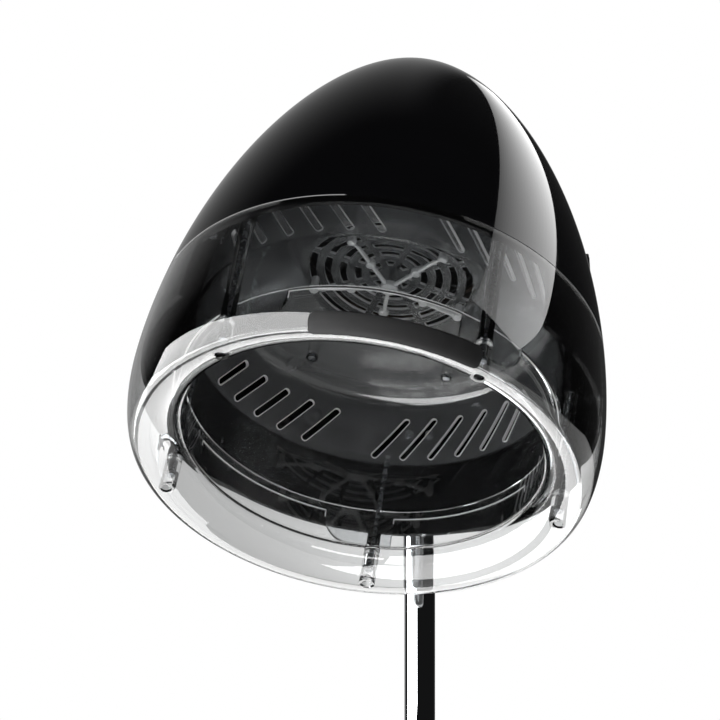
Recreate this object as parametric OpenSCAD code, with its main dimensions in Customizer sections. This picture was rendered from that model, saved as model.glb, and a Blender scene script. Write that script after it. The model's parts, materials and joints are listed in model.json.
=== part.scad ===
// Salon hood dryer on a five-star castor stand: a black egg shell over a clear slotted inner dome,
// with a clear rolled visor round the opening. Heights inside the hood are taken up the hood's own
// axis from the plane of the opening, and the front of the hood faces -Y.

/* [Hood shell] */
// Largest outside radius of the hood
hood_r = 200; // [194:1:208]
// Height of the largest radius above the opening
equator_h = 28; // [22:1:34]
// Height of the top of the shell above the opening
hood_top = 414; // [400:1:440]
// How late the side starts to lean in
crown_power = 1.74; // [1.6:0.02:1.9]
// How full the side stays on its way up
side_power = 1.71; // [1.6:0.02:1.9]
// Wall of the outer shell
shell_wall = 3.5; // [2.5:0.5:4.5]
// Height of the shell's lower edge above the opening
shell_low = 40; // [34:1:50]
// Angle of the shell that is cut away at the front, behind the visor
window_angle = 98; // [80:1:110]
// How far the visor's top edge covers the shell above that cut
window_cover = 6; // [4:1:10]

/* [Visor] */
// Height of the visor's top edge above the opening
visor_top = 107; // [100:1:110]
// Wall of the clear visor
visor_wall = 3; // [2:0.5:3.5]
// Gap between the visor's skin and the shell inside it
visor_gap = 0.6; // [0.4:0.1:1]
// How far the lowest line of the rolled bottom lies inside the largest radius
low_inset = 15; // [12:1:20]
// Drop of that lowest line below the opening plane
low_drop = 27; // [22:1:32]
// How far the opening's upright collar lies inside the largest radius
collar_inset = 46; // [44:1:52]
// Height of the collar above the opening plane
collar_top = 40; // [30:1:46]
// How far the collar leans outwards over its height
collar_flare = 2; // [0:0.5:3]
// Radius of the bead that is rolled on the rim
bead_r = 3.5; // [2.5:0.5:4]
// Angle of the dark grip strip under the front of the ring
grip_angle = 42; // [36:1:46]
// Turn of the grip from the middle of the window
grip_turn = 12; // [6:1:13]
// Thickness of the grip strip
grip_wall = 2.4; // [1.6:0.2:3]

/* [Columns] */
// Number of clear columns and screws that hold the visor
column_count = 5; // [5:1:5]
// How far the columns stand inside the largest radius
column_inset = 25; // [24:1:26]
// Outside radius of a clear column
column_r = 6; // [5:0.5:6.5]
// Bore radius of a clear column
column_bore_r = 3; // [2.6:0.1:3.4]
// Radius of the bosses that the columns stand between
boss_r = 7; // [6.5:0.5:7]
// Height of the top of the visor's bosses
boss_top = 6; // [4:1:10]
// Radius of the long visor screws
screw_r = 2; // [1.5:0.1:2.4]
// Radius of the visor screws' heads
screw_head_r = 4; // [3.5:0.1:4.4]
// Height of the visor screws' heads
screw_head_h = 4; // [3:0.5:5]

/* [Inner dome] */
// Wall of the clear inner dome
dome_wall = 2.5; // [2:0.1:3]
// How far the dome's lower edge lies inside the hood's largest radius
dome_inset = 35; // [34:0.5:36]
// Height of the dome's lower edge above the opening
dome_low = 35; // [30:1:42]
// Turn of the dome's slots and pockets against the ring's columns
dome_turn = 11; // [0:1:12]
// Height of the crease where the slotted wall starts
crease_h = 92; // [88:1:98]
// How far the dome leans in up to that crease
crease_inset = 2.5; // [2:0.5:4]
// Height of the turn from the slotted wall to the crown
shoulder_h = 158; // [154:1:162]
// How far the dome leans in up to that turn
shoulder_inset = 10.5; // [8:0.5:13]
// Outside radius of the flat crown
crown_r = 79; // [77:1:82]
// Height of the flat crown above the opening
crown_h = 182; // [178:1:186]
// Length of a slot
slot_length = 50; // [40:1:52]
// Width of a slot
slot_w = 6; // [5:0.2:7]
// Lean of the slots
slot_lean = 34; // [30:1:38]
// Angle from one slot to the next
slot_step = 9.4; // [9:0.1:9.6]
// Number of slots in a group
slot_count = 6; // [4:1:6]
// Number of rings of slots in the crown's grille
grille_rings = 5; // [3:1:5]
// Outside radius of the grille
grille_r = 72; // [66:1:73]
// Width of a grille slot
grille_slot_w = 6; // [4:0.5:7]
// Number of straight webs across the grille
grille_webs = 4; // [3:1:6]
// Width of a grille web
grille_web_w = 6; // [4:0.5:8]
// Radius of the rods of the crown guard
guard_rod_r = 2; // [1.5:0.1:2.5]
// Drop of the guard's rods below the crown
guard_drop = 12; // [8:1:16]

/* [Fan and heater] */
// Wall of the air plenum behind the dome
plenum_wall = 2.5; // [2:0.5:3]
// Radius of the plenum's neck round the fan
plenum_neck_r = 112; // [108:1:118]
// Height of the plenum's flat top above the dome's crown
plenum_h = 80; // [76:1:88]
// Radius of the fan wheel
fan_r = 74; // [66:1:78]
// Height of the fan wheel
fan_h = 36; // [30:1:40]
// Number of fan blades
fan_blades = 18; // [12:1:24]
// Radius of the motor
motor_r = 38; // [32:1:44]
// Height of the motor
motor_h = 62; // [50:1:70]
// Radius of the motor shaft
shaft_r = 3; // [2.5:0.5:4]
// Radius of the former that carries the heater's elements
heater_ring_r = 96; // [94:1:98]
// Radius of the heater's ring elements
element_r = 3.2; // [2.6:0.2:4]

/* [Control housing] */
// Turn of the control housing from the hood's right side towards the back
pod_turn = 16; // [12:1:20]
// Height of the middle of the control panel
pod_h = 223; // [218:1:226]
// How far the control panel stands out from the egg
pod_proud = 8; // [7:0.5:11]
// Height of the panel along the hood
pod_height = 71; // [68:1:76]
// Width of the panel round the hood
pod_width = 59; // [57:1:62]
// Corner radius of the housing
pod_corner = 17; // [14:1:18]
// Wall of the housing
pod_wall = 2.6; // [2.2:0.2:3]
// Radius of the timer dial
timer_r = 18; // [16:0.5:18.5]
// Radius of the temperature knob
heat_r = 14; // [12:0.5:15]
// Height of both knobs above their gap
knob_h = 7; // [6:0.5:9]

/* [Tilt bracket] */
// Tilt of the hood, back from upright, as it stands
hood_tilt = 37.7; // [20:0.1:44]
// Turn of the round hood on its bracket
clock_turn = 8; // [0:1:12]
// How far the hinge lies outside the hood's largest radius
hinge_out = 12; // [11:1:20]
// Height of the hinge above the opening, along the hood's axis
hinge_up = 100; // [98:1:106]
// Height of the hinge above the floor
hinge_z = 1150; // [1100:1:1220]
// Radius of the hinge pin
pin_r = 5; // [4:0.5:6]
// Radius of the eyes round the hinge pin
eye_r = 14; // [13:0.5:15]
// Half the gap between the bracket's cheeks
cheek_x = 17.5; // [16:0.5:20]
// Thickness of a cheek
cheek_w = 6; // [5:0.5:8]
// Width of the bracket's saddle
saddle_w = 58; // [54:1:62]
// Height of the bracket's saddle
saddle_h = 76; // [72:1:80]
// Thickness of the bracket's saddle at its middle
saddle_t = 10; // [8:1:12]

/* [Mast] */
// Outside radius of the upper tube
inner_tube_r = 14; // [12:0.5:14.5]
// Outside radius of the lower tube
outer_tube_r = 17.5; // [17:0.5:19]
// Wall of both tubes
tube_wall = 1.5; // [1:0.25:2]
// Height of the lower tube's top end
outer_tube_top = 790; // [740:1:820]
// Height of the upper tube's lower end
inner_tube_low = 330; // [300:1:360]

/* [Star base] */
// Number of legs
leg_count = 5; // [5:1:5]
// Distance from the mast to each castor's stem
leg_reach = 290; // [270:5:320]
// Height of the legs at the castors' stems
leg_end_h = 22; // [20:1:26]
// Height of the legs at the hub
leg_root_h = 38; // [32:1:44]
// Width of a leg at the hub
leg_root_w = 42; // [36:1:46]
// Width of a leg at its end
leg_end_w = 26; // [24:1:30]
// Radius of the hub
hub_r = 36; // [34:1:44]
// Radius of a castor wheel
wheel_r = 25; // [20:1:26]
// Width of one of a castor's two wheels
wheel_w = 14; // [12:1:16]
// Trail of a castor
castor_trail = 16; // [12:1:18]
// Radius of a castor's stem
stem_r = 5; // [4:0.5:6]

/* [Hidden] */
$fn = 96;
overrun = 2;
// Gap between a piece and its seat
seat_gap = 0.3;
// Radial clearance of a shaft in its bore
fit_gap = 0.05;
// Radial clearance of a screw in its hole
screw_gap = 0.15;
crown_rings = 30;
skin_rings = 8;
roll_rings = 8;
corner_rings = 4;
// A slope is measured over this much height
slope_step = 0.5;

// Radius of the egg at a height, and the lean of its side there
function egg_share(h) = max(0, (h - equator_h) / (hood_top - equator_h));
function hood_radius(h) = hood_r * pow(max(0, 1 - pow(egg_share(h), crown_power)), 1 / side_power);
function lean(h) = atan2(hood_radius(h - slope_step) - hood_radius(h + slope_step), 2 * slope_step);

// Heights from a start up to the top, closer together near the top
function egg_heights(low, rings) =
    let (first = asin(egg_share(low)))
    [for (i = [0:rings]) equator_h + (hood_top - equator_h) * sin(first + (90 - first) * i / rings)];

// A stretch of an ellipse
function bow(middle, rx, ry, from, to, rings) =
    [for (i = [0:rings]) let (a = from + (to - from) * i / rings) middle + [rx * cos(a), ry * sin(a)]];

// The rounded corner at b between the lines to a and to c
function corner(a, b, c, r) =
    let (u = (a - b) / norm(a - b), v = (c - b) / norm(c - b), half = acos(u * v) / 2,
         o = b + (u + v) / norm(u + v) * r / sin(half), s = b + u * r / tan(half) - o,
         e = b + v * r / tan(half) - o, start = atan2(s.y, s.x),
         sweep = (atan2(e.y, e.x) - start + 540) % 360 - 180)
    [for (i = [0:corner_rings]) let (t = start + sweep * i / corner_rings) o + r * [cos(t), sin(t)]];

function rounded(points, radii) = [for (i = [0:len(points) - 1])
    each radii[i] == 0 ? [points[i]] : corner(points[i - 1], points[i], points[i + 1], radii[i])];

// A path moved sideways, to its right for a positive distance; a point on the axis stays on it
function beside(path, distance) = [for (i = [0:len(path) - 1])
    let (t = path[min(i + 1, len(path) - 1)] - path[max(i - 1, 0)],
         p = path[i] + distance * [t.y, -t.x] / norm(t))
    [path[i].x == 0 ? 0 : p.x, p.y]];

function backwards(path) = [for (i = [len(path) - 1:-1:0]) path[i]];

module spun_wall(path, wall) {
    rotate_extrude() polygon(concat(path, backwards(beside(path, wall))));
}

// A tube that stands on the plane z = low
module tube(r, bore, low, high) {
    translate([0, 0, low]) difference() {
        cylinder(r = r, h = high - low);
        translate([0, 0, -overrun]) cylinder(r = bore, h = high - low + 2 * overrun);
    }
}

// Radii of the ring, the columns and the dome, inwards from the largest one
low_r = hood_r - low_inset;
collar_r = hood_r - collar_inset;
column_circle_r = hood_r - column_inset;
dome_r = hood_r - dome_inset;
crease_r = dome_r - crease_inset;
shoulder_r = dome_r - shoulder_inset;

// Where the hood stands
hinge_back = hood_r + hinge_out;
opening_y = -hinge_back * cos(hood_tilt) - hinge_up * sin(hood_tilt);
visor_skin = [for (i = [0:skin_rings]) let (h = visor_top + (equator_h - visor_top) * i / skin_rings)
    [hood_radius(h), h]];
visor_roll_out = bow([low_r, equator_h], hood_r - low_r, equator_h + low_drop, 0, -90, roll_rings);
visor_roll_in = bow([low_r, 0], low_r - collar_r, low_drop, -90, -180, roll_rings);
visor_path = concat(visor_skin, [for (i = [1:roll_rings]) visor_roll_out[i]],
    [for (i = [1:roll_rings]) visor_roll_in[i]], [[collar_r + collar_flare, collar_top]]);
// The grip follows the lower part of the roll, outside it
grip_inner_angle = -88;
grip_outer_angle = -48;
function grip_arc(out) = bow([low_r, equator_h], hood_r - low_r + out, equator_h + low_drop + out,
    grip_inner_angle, grip_outer_angle, roll_rings);
front_outline = concat(visor_path, grip_arc(seat_gap + grip_wall));
front_reach = max([for (p = front_outline) p.x * cos(hood_tilt) - p.y * sin(hood_tilt)]) - opening_y;
castor_gap = 9;
castor_half = castor_gap / 2 + wheel_w;
leg_step = 360 / leg_count;
back_leg = 2 * leg_step - 90;
rear_reach = (leg_reach + castor_trail + wheel_r) * sin(back_leg) + castor_half * cos(back_leg);
mast_y = (front_reach - rear_reach) / 2;

// The frame of the bracket, and the frame of the round hood turned on it
module bracket_frame() {
    translate([0, mast_y, hinge_z]) rotate([-hood_tilt, 0, 0])
        translate([0, -hinge_back, -hinge_up]) children();
}
module hood_frame() {
    bracket_frame() rotate([0, 0, clock_turn]) children();
}

// A place on the egg, with z along its outward normal
module on_egg(turn, h) {
    rotate([0, 0, turn]) translate([hood_radius(h), 0, h]) rotate([0, 90 - lean(h), 0]) children();
}

// The egg grown by a distance, as one solid
module grown_egg(extra, low) {
    heights = egg_heights(low, crown_rings);
    rotate_extrude() polygon(concat([[0, low]],
        [for (i = [0:crown_rings - 1]) [hood_radius(heights[i]) + extra, heights[i]]],
        [[0, hood_top + extra]]));
}

// Places of the five columns
column_turn = 360 / column_count;
module each_column() {
    for (i = [0:column_count - 1]) rotate([0, 0, 90 + column_turn * i])
        translate([column_circle_r, 0, 0]) children();
}

// Levels up a column: visor boss, dome foot, clear column, shell boss
foot_t = 3;
foot_low = boss_top + seat_gap;
column_low = foot_low + foot_t + seat_gap;
column_high = visor_top + visor_wall;
shell_boss_low = column_high + seat_gap;
shell_boss_h = 56;
plenum_boss_h = 66;
screw_bite = 16;
screw_seat_h = -8;
screw_hole_r = screw_r + screw_gap;

// Shell
step_h = visor_top + seat_gap;
shell_inset = visor_wall + visor_gap;
inner_step_h = step_h + shell_wall;
shell_skirt_rings = 6;
module shell_outside() {
    skirt = [for (i = [0:shell_skirt_rings]) let (h = shell_low + (step_h - shell_low) * i / shell_skirt_rings)
        [hood_radius(h) - shell_inset, h]];
    egg = [for (h = egg_heights(step_h, crown_rings)) [hood_radius(h), h]];
    rotate_extrude() polygon(concat([[0, shell_low]], skirt, egg));
}
module shell_inside() {
    bottom = shell_low - overrun;
    skirt = [for (i = [0:shell_skirt_rings]) let (h = bottom + (inner_step_h - bottom) * i / shell_skirt_rings)
        [hood_radius(h) - shell_inset - shell_wall, h]];
    inner_top = hood_top - shell_wall;
    egg = [for (h = egg_heights(inner_step_h, crown_rings))
        let (s = (inner_top - equator_h) / (hood_top - equator_h))
        [max(0, (hood_r - shell_wall) / hood_r * hood_radius(h)), equator_h + (h - equator_h) * s]];
    rotate_extrude() polygon(concat([[0, bottom]], skirt, egg));
}
pod_ledge_w = 1.4;
pod_hole_inset = pod_wall + pod_ledge_w;
module shell() {
    color("#0b0b0d") hood_frame() difference() {
        union() {
            difference() {
                shell_outside();
                shell_inside();
            }
            intersection() {
                shell_outside();
                union() {
                    each_column() translate([0, 0, shell_boss_low]) cylinder(r = boss_r, h = shell_boss_h);
                    each_ear() translate([0, 0, plenum_ear_t + seat_gap])
                        cylinder(r = plenum_boss_r, h = plenum_boss_h);
                }
            }
        }
        rotate([0, 0, -90 - window_angle / 2]) rotate_extrude(angle = window_angle)
            translate([collar_r, shell_low - overrun])
            square([hood_r - collar_r, visor_top - window_cover - shell_low + overrun]);
        each_column() translate([0, 0, shell_boss_low - overrun])
            cylinder(r = screw_hole_r, h = screw_bite + overrun);
        each_ear() cylinder(r = screw_hole_r, h = plenum_ear_t + plenum_screw_bite);
        on_panel() translate([0, 0, -pod_depth]) linear_extrude(pod_depth) panel_outline(pod_hole_inset);
        rotate([0, 0, -clock_turn]) each_bracket_bolt() translate([0, 0, -bolt_length])
            cylinder(r = bolt_r + screw_gap, h = 2 * bolt_length);
        rotate([0, 0, -clock_turn]) on_egg(gland_turn, gland_h) translate([0, 0, -gland_length])
            cylinder(r = gland_r + screw_gap, h = 2 * gland_length);
    }
}

// Visor
visor_boss_low = -low_drop + visor_wall / 2;
head_gap = 0.6;
head_recess_r = screw_head_r + head_gap;
module visor() {
    color("#dfe3e6", 0.35) hood_frame() difference() {
        union() {
            spun_wall(visor_path, visor_wall);
            rotate_extrude() translate([collar_r, 0]) circle(r = bead_r, $fn = 24);
            each_column() translate([0, 0, visor_boss_low])
                cylinder(r = boss_r, h = boss_top - visor_boss_low);
        }
        each_column() translate([0, 0, -low_drop - overrun])
            cylinder(r = head_recess_r, h = low_drop + overrun + screw_seat_h);
        each_column() cylinder(r = screw_hole_r, h = 2 * boss_top);
        each_column() translate([0, 0, screw_seat_h - overrun])
            cylinder(r = screw_hole_r, h = boss_top - screw_seat_h);
    }
}

// Grip strip under the front of the ring, between these two angles of the roll
module front_grip() {
    near = grip_arc(seat_gap);
    far = grip_arc(seat_gap + grip_wall);
    color("#1c1d20") hood_frame() rotate([0, 0, grip_turn - 90 - grip_angle / 2])
        rotate_extrude(angle = grip_angle) polygon(concat(near, backwards(far)));
}

// Inner dome: a bowl with a slotted upright wall, a sloping crown and a grille in its flat middle
shoulder_fillet_r = 14;
crown_fillet_r = 7;
crease_step = 2;
crown_rise = 1.5;
dome_path = rounded(
    [[dome_r, dome_low], [crease_r, crease_h], [crease_r - crease_step, crease_h + crease_step],
     [shoulder_r, shoulder_h], [crown_r, crown_h], [0, crown_h + crown_rise]],
    [0, 0, 0, shoulder_fillet_r, crown_fillet_r, 0]);
tab_w = 62;
tab_shift = 14;
tab_corner_r = 25;
tab_edge_r = 2;
slot_middle_h = 118.7;
slot_first = 11.9;
slot_cut = 24;
// The groups of slots lie on both sides of the middle of the back and of the front
module slot_outline() {
    square([slot_length - slot_w, slot_w], center = true);
    for (side = [-1, 1]) translate([side * (slot_length - slot_w) / 2, 0]) circle(r = slot_w / 2, $fn = 24);
}
module each_slot() {
    for (middle = [90, 270], side = [-1, 1], i = [0:slot_count - 1])
        rotate([0, 0, dome_turn + middle + side * (slot_first + slot_step * i)])
        translate([crease_r, 0, slot_middle_h]) children();
}
grille_middle_share = 0.2;
grille_pitch = (grille_r - grille_slot_w / 2) / (grille_rings + grille_middle_share);
module grille_cut() {
    difference() {
        for (i = [1:grille_rings])
            let (middle = grille_r - grille_slot_w / 2 - grille_pitch * (grille_rings - i))
            tube(middle + grille_slot_w / 2, middle - grille_slot_w / 2,
                crown_h - crown_fillet_r, crown_h + crown_fillet_r);
        for (i = [0:grille_webs - 1]) rotate([0, 0, 180 / grille_webs * (i + 1 / 2)])
            cube([2 * crown_r, grille_web_w, 2 * (crown_h + crown_r)], center = true);
    }
}
// A tab seen from outside the dome: most of it lies on one side of its column
module tab_outline() {
    low_x = tab_shift - tab_w / 2;
    high_x = tab_shift + tab_w / 2;
    top = dome_low + dome_wall;
    polygon(rounded([[low_x, top], [low_x, foot_low], [high_x, foot_low], [high_x, top]],
        [0, tab_edge_r, tab_corner_r, 0]));
}
// Screw pockets in the sloping crown
pocket_turns = [57, 114, 237, 294];
pocket_inset = 26.5;
pocket_circle_r = shoulder_r - pocket_inset;
pocket_r = 5.5;
pocket_floor_t = 3;
pocket_head_r = 4;
dome_screw_r = 1.6;
pocket_top = crown_h - (crown_h - shoulder_h) * (pocket_circle_r - pocket_r - crown_r) / (shoulder_r - crown_r);
module each_pocket() {
    for (turn = pocket_turns) rotate([0, 0, dome_turn + turn])
        translate([pocket_circle_r, 0, pocket_top]) children();
}
pocket_floor_h = pocket_floor_t + dome_wall;
module inner_dome() {
    color("#8d9196", 0.45) hood_frame() difference() {
        union() {
            spun_wall(dome_path, -dome_wall);
            each_column() {
                translate([0, 0, foot_low]) cylinder(r = boss_r, h = foot_t);
                translate([dome_r - dome_wall / 2 - column_circle_r, -boss_r, foot_low])
                    cube([column_circle_r - dome_r + dome_wall / 2, 2 * boss_r, foot_t]);
            }
            intersection() {
                tube(dome_r, dome_r - dome_wall, foot_low, dome_low + dome_wall);
                for (i = [0:column_count - 1]) rotate([0, 0, column_turn * i])
                    rotate([90, 0, 180]) linear_extrude(2 * dome_r) tab_outline();
            }
            each_pocket() translate([0, 0, -pocket_floor_h]) cylinder(r = pocket_r, h = pocket_floor_h);
        }
        each_slot() rotate([slot_lean, 0, 0]) rotate([0, 90, 0])
            linear_extrude(slot_cut, center = true) slot_outline();
        grille_cut();
        each_column() translate([0, 0, foot_low - overrun])
            cylinder(r = screw_hole_r, h = foot_t + 2 * overrun);
        each_pocket() translate([0, 0, -crown_h / 2]) {
            cylinder(r = dome_screw_r + screw_gap, h = crown_h);
            cylinder(r = pocket_head_r, h = crown_h / 2 - pocket_floor_t);
        }
    }
}

// Small screws that hold the dome's crown up to the plenum's lugs
dome_screw_head_r = 3.2;
dome_screw_head_h = 2.2;
dome_screw_length = 16;
module dome_screws() {
    color("#9a9da1") hood_frame() each_pocket() translate([0, 0, -pocket_floor_t - dome_screw_head_h]) {
        translate([0, 0, -seat_gap / 2]) cylinder(r = dome_screw_head_r, h = dome_screw_head_h);
        cylinder(r = dome_screw_r, h = dome_screw_length);
    }
}

// Guard of five rods under the crown
guard_knob_r = 4.5;
guard_hub_r = 8;
guard_knob_h = 6;
guard_end_r = grille_r - guard_knob_r;
guard_turn = 244;
module crown_guard() {
    rod_h = crown_h - dome_wall - guard_drop;
    color("#d5d8db") hood_frame() translate([0, 0, rod_h]) {
        cylinder(r = guard_hub_r, h = guard_knob_h, center = true);
        for (i = [0:column_count - 1]) rotate([0, 0, guard_turn + column_turn * i]) {
            rotate([0, 90, 0]) cylinder(r = guard_rod_r, h = guard_end_r);
            for (share = [1 / 2, 1]) translate([guard_end_r * share, 0, 0])
                cylinder(r = guard_knob_r, h = guard_knob_h, center = true);
            translate([guard_end_r, 0, guard_knob_h / 4])
                cylinder(r = 2 * guard_rod_r, h = guard_drop - guard_knob_h / 4 - seat_gap);
        }
    }
}

module visor_columns() {
    color("#e8ecee", 0.4) hood_frame() each_column() tube(column_r, column_bore_r, column_low, column_high);
}

module visor_screws() {
    color("#a9acb0") hood_frame() each_column() {
        translate([0, 0, screw_seat_h - screw_head_h - seat_gap / 2])
            cylinder(r = screw_head_r, h = screw_head_h);
        translate([0, 0, screw_seat_h - screw_head_h])
            cylinder(r = screw_r, h = shell_boss_low + screw_bite - screw_seat_h + screw_head_h - overrun);
    }
}

// Plenum: the black bell over the crown that holds the heater and fan, hung from the shell by five ears
plenum_inset = 6.5;
plenum_rim_drop = 10;
plenum_shoulder_drop = 2;
plenum_neck_rise = 24;
plenum_ear_out = 12;
plenum_rim_r = shoulder_r - plenum_inset;
plenum_rim_h = crown_h - plenum_rim_drop;
plenum_shoulder_h = crown_h - plenum_shoulder_drop;
plenum_neck_low = crown_h + plenum_neck_rise;
plenum_top = crown_h + plenum_h;
plenum_ear_circle_r = plenum_rim_r + plenum_ear_out;
plenum_ear_t = 4;
plenum_boss_r = 6;
plenum_path = rounded(
    [[plenum_rim_r, plenum_rim_h], [plenum_rim_r, plenum_shoulder_h], [plenum_neck_r, plenum_neck_low],
     [plenum_neck_r, plenum_top], [2 * shaft_r, plenum_top]],
    [0, crown_fillet_r, shoulder_fillet_r, crown_fillet_r, 0]);
lug_gap = 0.3;
lug_r = 5;
lug_top = plenum_shoulder_h + (plenum_neck_low - plenum_shoulder_h)
    * (plenum_rim_r - pocket_circle_r + lug_r) / (plenum_rim_r - plenum_neck_r);
module each_ear() {
    for (i = [0:column_count - 1]) rotate([0, 0, 90 + column_turn * (i + 1 / 2)])
        translate([plenum_ear_circle_r, 0, plenum_rim_h]) children();
}
module plenum() {
    color("#17181a") hood_frame() difference() {
        union() {
            spun_wall(plenum_path, -plenum_wall);
            each_ear() {
                cylinder(r = plenum_boss_r, h = plenum_ear_t);
                translate([plenum_rim_r - plenum_wall / 2 - plenum_ear_circle_r, -plenum_boss_r, 0])
                    cube([plenum_ear_circle_r - plenum_rim_r + plenum_wall / 2, 2 * plenum_boss_r,
                        plenum_ear_t]);
            }
            intersection() {
                rotate_extrude() polygon(concat(
                    [[0, pocket_top]], [plenum_path[0] - [0, plenum_rim_h - pocket_top]],
                    beside(plenum_path, -plenum_wall / 2), [[0, plenum_top]]));
                each_pocket() translate([0, 0, lug_gap]) cylinder(r = lug_r, h = lug_top - pocket_top);
            }
        }
        each_ear() translate([0, 0, -overrun]) cylinder(r = screw_hole_r, h = plenum_ear_t + 2 * overrun);
        each_pocket() cylinder(r = dome_screw_r + screw_gap, h = dome_screw_length);
        each_motor_bolt() translate([0, 0, plenum_top - plenum_wall - overrun])
            cylinder(r = motor_bolt_r + screw_gap, h = plenum_wall + 2 * overrun);
    }
}
plenum_screw_bite = 12;
plenum_screw_head_h = 3;
module plenum_screws() {
    color("#a9acb0") hood_frame() each_ear() {
        translate([0, 0, -seat_gap / 2 - plenum_screw_head_h])
            cylinder(r = screw_head_r, h = plenum_screw_head_h);
        translate([0, 0, -plenum_screw_head_h])
            cylinder(r = screw_r, h = plenum_screw_head_h + plenum_ear_t + plenum_screw_bite - overrun);
    }
}

// Motor, its shaft and its mount
mount_t = 4;
motor_low = plenum_top + mount_t + 2 * seat_gap;
motor_bolt_r = 2;
motor_bolt_inset = 8;
motor_bolt_circle_r = motor_r - motor_bolt_inset;
module each_motor_bolt() {
    for (i = [0:3]) rotate([0, 0, 45 + 90 * i]) translate([motor_bolt_circle_r, 0, 0]) children();
}
module motor_mount() {
    color("#8f9296") hood_frame() difference() {
        tube(motor_r + mount_t, 2 * shaft_r, plenum_top + seat_gap, plenum_top + seat_gap + mount_t);
        each_motor_bolt() translate([0, 0, plenum_top]) cylinder(r = motor_bolt_r + screw_gap, h = 2 * mount_t);
    }
}
motor_fillet_r = 4;
motor_boss_r = 12;
motor_boss_h = 8;
motor_bolt_bite = 8;
shaft_bite = 20;
module motor() {
    color("#3a3c40") hood_frame() difference() {
        translate([0, 0, motor_low]) rotate_extrude() polygon(rounded(
            [[0, 0], [motor_r, 0], [motor_r, motor_h], [motor_boss_r, motor_h + motor_boss_h / 2],
             [motor_boss_r, motor_h + motor_boss_h], [0, motor_h + motor_boss_h]],
            [0, motor_fillet_r, motor_fillet_r, 0, 0, 0]));
        translate([0, 0, motor_low - overrun]) cylinder(r = shaft_r + fit_gap, h = shaft_bite + overrun);
        each_motor_bolt() translate([0, 0, motor_low - overrun])
            cylinder(r = motor_bolt_r + screw_gap, h = motor_bolt_bite + overrun);
    }
}
module motor_bolts() {
    head_h = 2 * motor_bolt_r;
    color("#9a9da1") hood_frame() each_motor_bolt() {
        translate([0, 0, plenum_top - plenum_wall - seat_gap / 2 - head_h]) cylinder(r = head_h, h = head_h);
        translate([0, 0, plenum_top - plenum_wall - head_h])
            cylinder(r = motor_bolt_r,
                h = plenum_wall + head_h + motor_low - plenum_top + motor_bolt_bite - overrun);
    }
}
fan_headroom = 11;
fan_top = plenum_top - plenum_wall - fan_headroom;
fan_low = fan_top - fan_h;
fan_plate_t = 2;
fan_hub_r = 10;
fan_blade_t = 1.6;
fan_blade_length = 24;
blade_lean = 28;
module fan_wheel() {
    color("#2b2d31") hood_frame() difference() {
        union() {
            translate([0, 0, fan_top - fan_plate_t]) cylinder(r = fan_r, h = fan_plate_t);
            translate([0, 0, fan_low]) cylinder(r = fan_hub_r, h = fan_h);
            tube(fan_r, fan_r - fan_plate_t, fan_low, fan_low + 2 * fan_plate_t);
            for (i = [0:fan_blades - 1]) rotate([0, 0, 360 / fan_blades * i])
                translate([fan_r - fan_plate_t / 2, 0, fan_low]) rotate([0, 0, 180 - blade_lean])
                translate([0, -fan_blade_t / 2, 0])
                cube([fan_blade_length, fan_blade_t, fan_h - fan_plate_t / 2]);
        }
        translate([0, 0, fan_low - overrun]) cylinder(r = shaft_r, h = fan_h + 2 * overrun);
    }
}
module motor_shaft() {
    color("#b9bcc0") hood_frame() translate([0, 0, fan_low])
        cylinder(r = shaft_r - fit_gap / 2, h = motor_low + shaft_bite - overrun - fan_low);
}

// Heater: two ring elements on a former that stands on four feet inside the plenum's neck
heater_rise = 40;
heater_h = crown_h + heater_rise;
former_t = 2;
former_h = 8;
foot_w = 8;
foot_count = 4;
foot_turn = 15;
module heater_former() {
    color("#cfc7b4") hood_frame() {
        tube(heater_ring_r, heater_ring_r - former_t, heater_h - former_h / 2, heater_h + former_h / 2);
        for (i = [0:foot_count - 1]) rotate([0, 0, foot_turn + 360 / foot_count * i])
            translate([heater_ring_r - former_t / 2, -foot_w / 2, heater_h - former_t / 2])
            cube([plenum_neck_r - plenum_wall - heater_ring_r + former_t / 2 - 2 * seat_gap, foot_w, former_t]);
    }
}
module heater_element() {
    color("#8c7d70") hood_frame() for (side = [-1, 1])
        translate([0, 0, heater_h + side * (former_h / 2 + seat_gap + element_r)])
        rotate_extrude() translate([heater_ring_r - former_t / 2, 0]) circle(r = element_r, $fn = 24);
}
cutout_w = 8;
cutout_h = 5;
cutout_length = 16;
cutout_up = 20;
cutout_turn = 75;
module thermal_cutout() {
    color("#b8bbbf") hood_frame() rotate([0, 0, cutout_turn])
        translate([plenum_neck_r - plenum_wall - 2 * seat_gap - cutout_h, -cutout_w / 2, heater_h + cutout_up])
        translate([0, 0, -cutout_length / 2]) cube([cutout_h, cutout_w, cutout_length]);
}

// Control housing. The panel's own plane has u up the hood and v round to the back
panel_lean = 8.2;
panel_face_turn = 2.6;
pod_depth = 60;
pod_r = hood_radius(pod_h) + pod_proud;
panel_middle_v = 20.5;
panel_middle_u = 3.5;
timer_at = [22, 8];
heat_at = [-14, 8];
switch_at = [20, 35];
lamp_at = [-12, 35];
module on_panel() {
    rotate([0, 0, pod_turn]) translate([pod_r, 0, pod_h]) rotate([0, 0, panel_face_turn - pod_turn])
        rotate([0, 90 - panel_lean, 0]) children();
}
module at_panel(place) {
    on_panel() translate([-place[0], place[1], 0]) children();
}
module panel_outline(inset) {
    r = pod_corner - inset;
    u = pod_height / 2 - pod_corner;
    v = pod_width / 2 - pod_corner;
    translate([-panel_middle_u, panel_middle_v]) {
        square([2 * u, 2 * (v + r)], center = true);
        square([2 * (u + r), 2 * v], center = true);
        for (a = [-1, 1], b = [-1, 1]) translate([a * u, b * v]) circle(r = r);
    }
}
knob_gap = 1.7;
knob_stem_r = 3;
switch_size = [13, 20];
switch_gap = 0.5;
lamp_r = 3;
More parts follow.
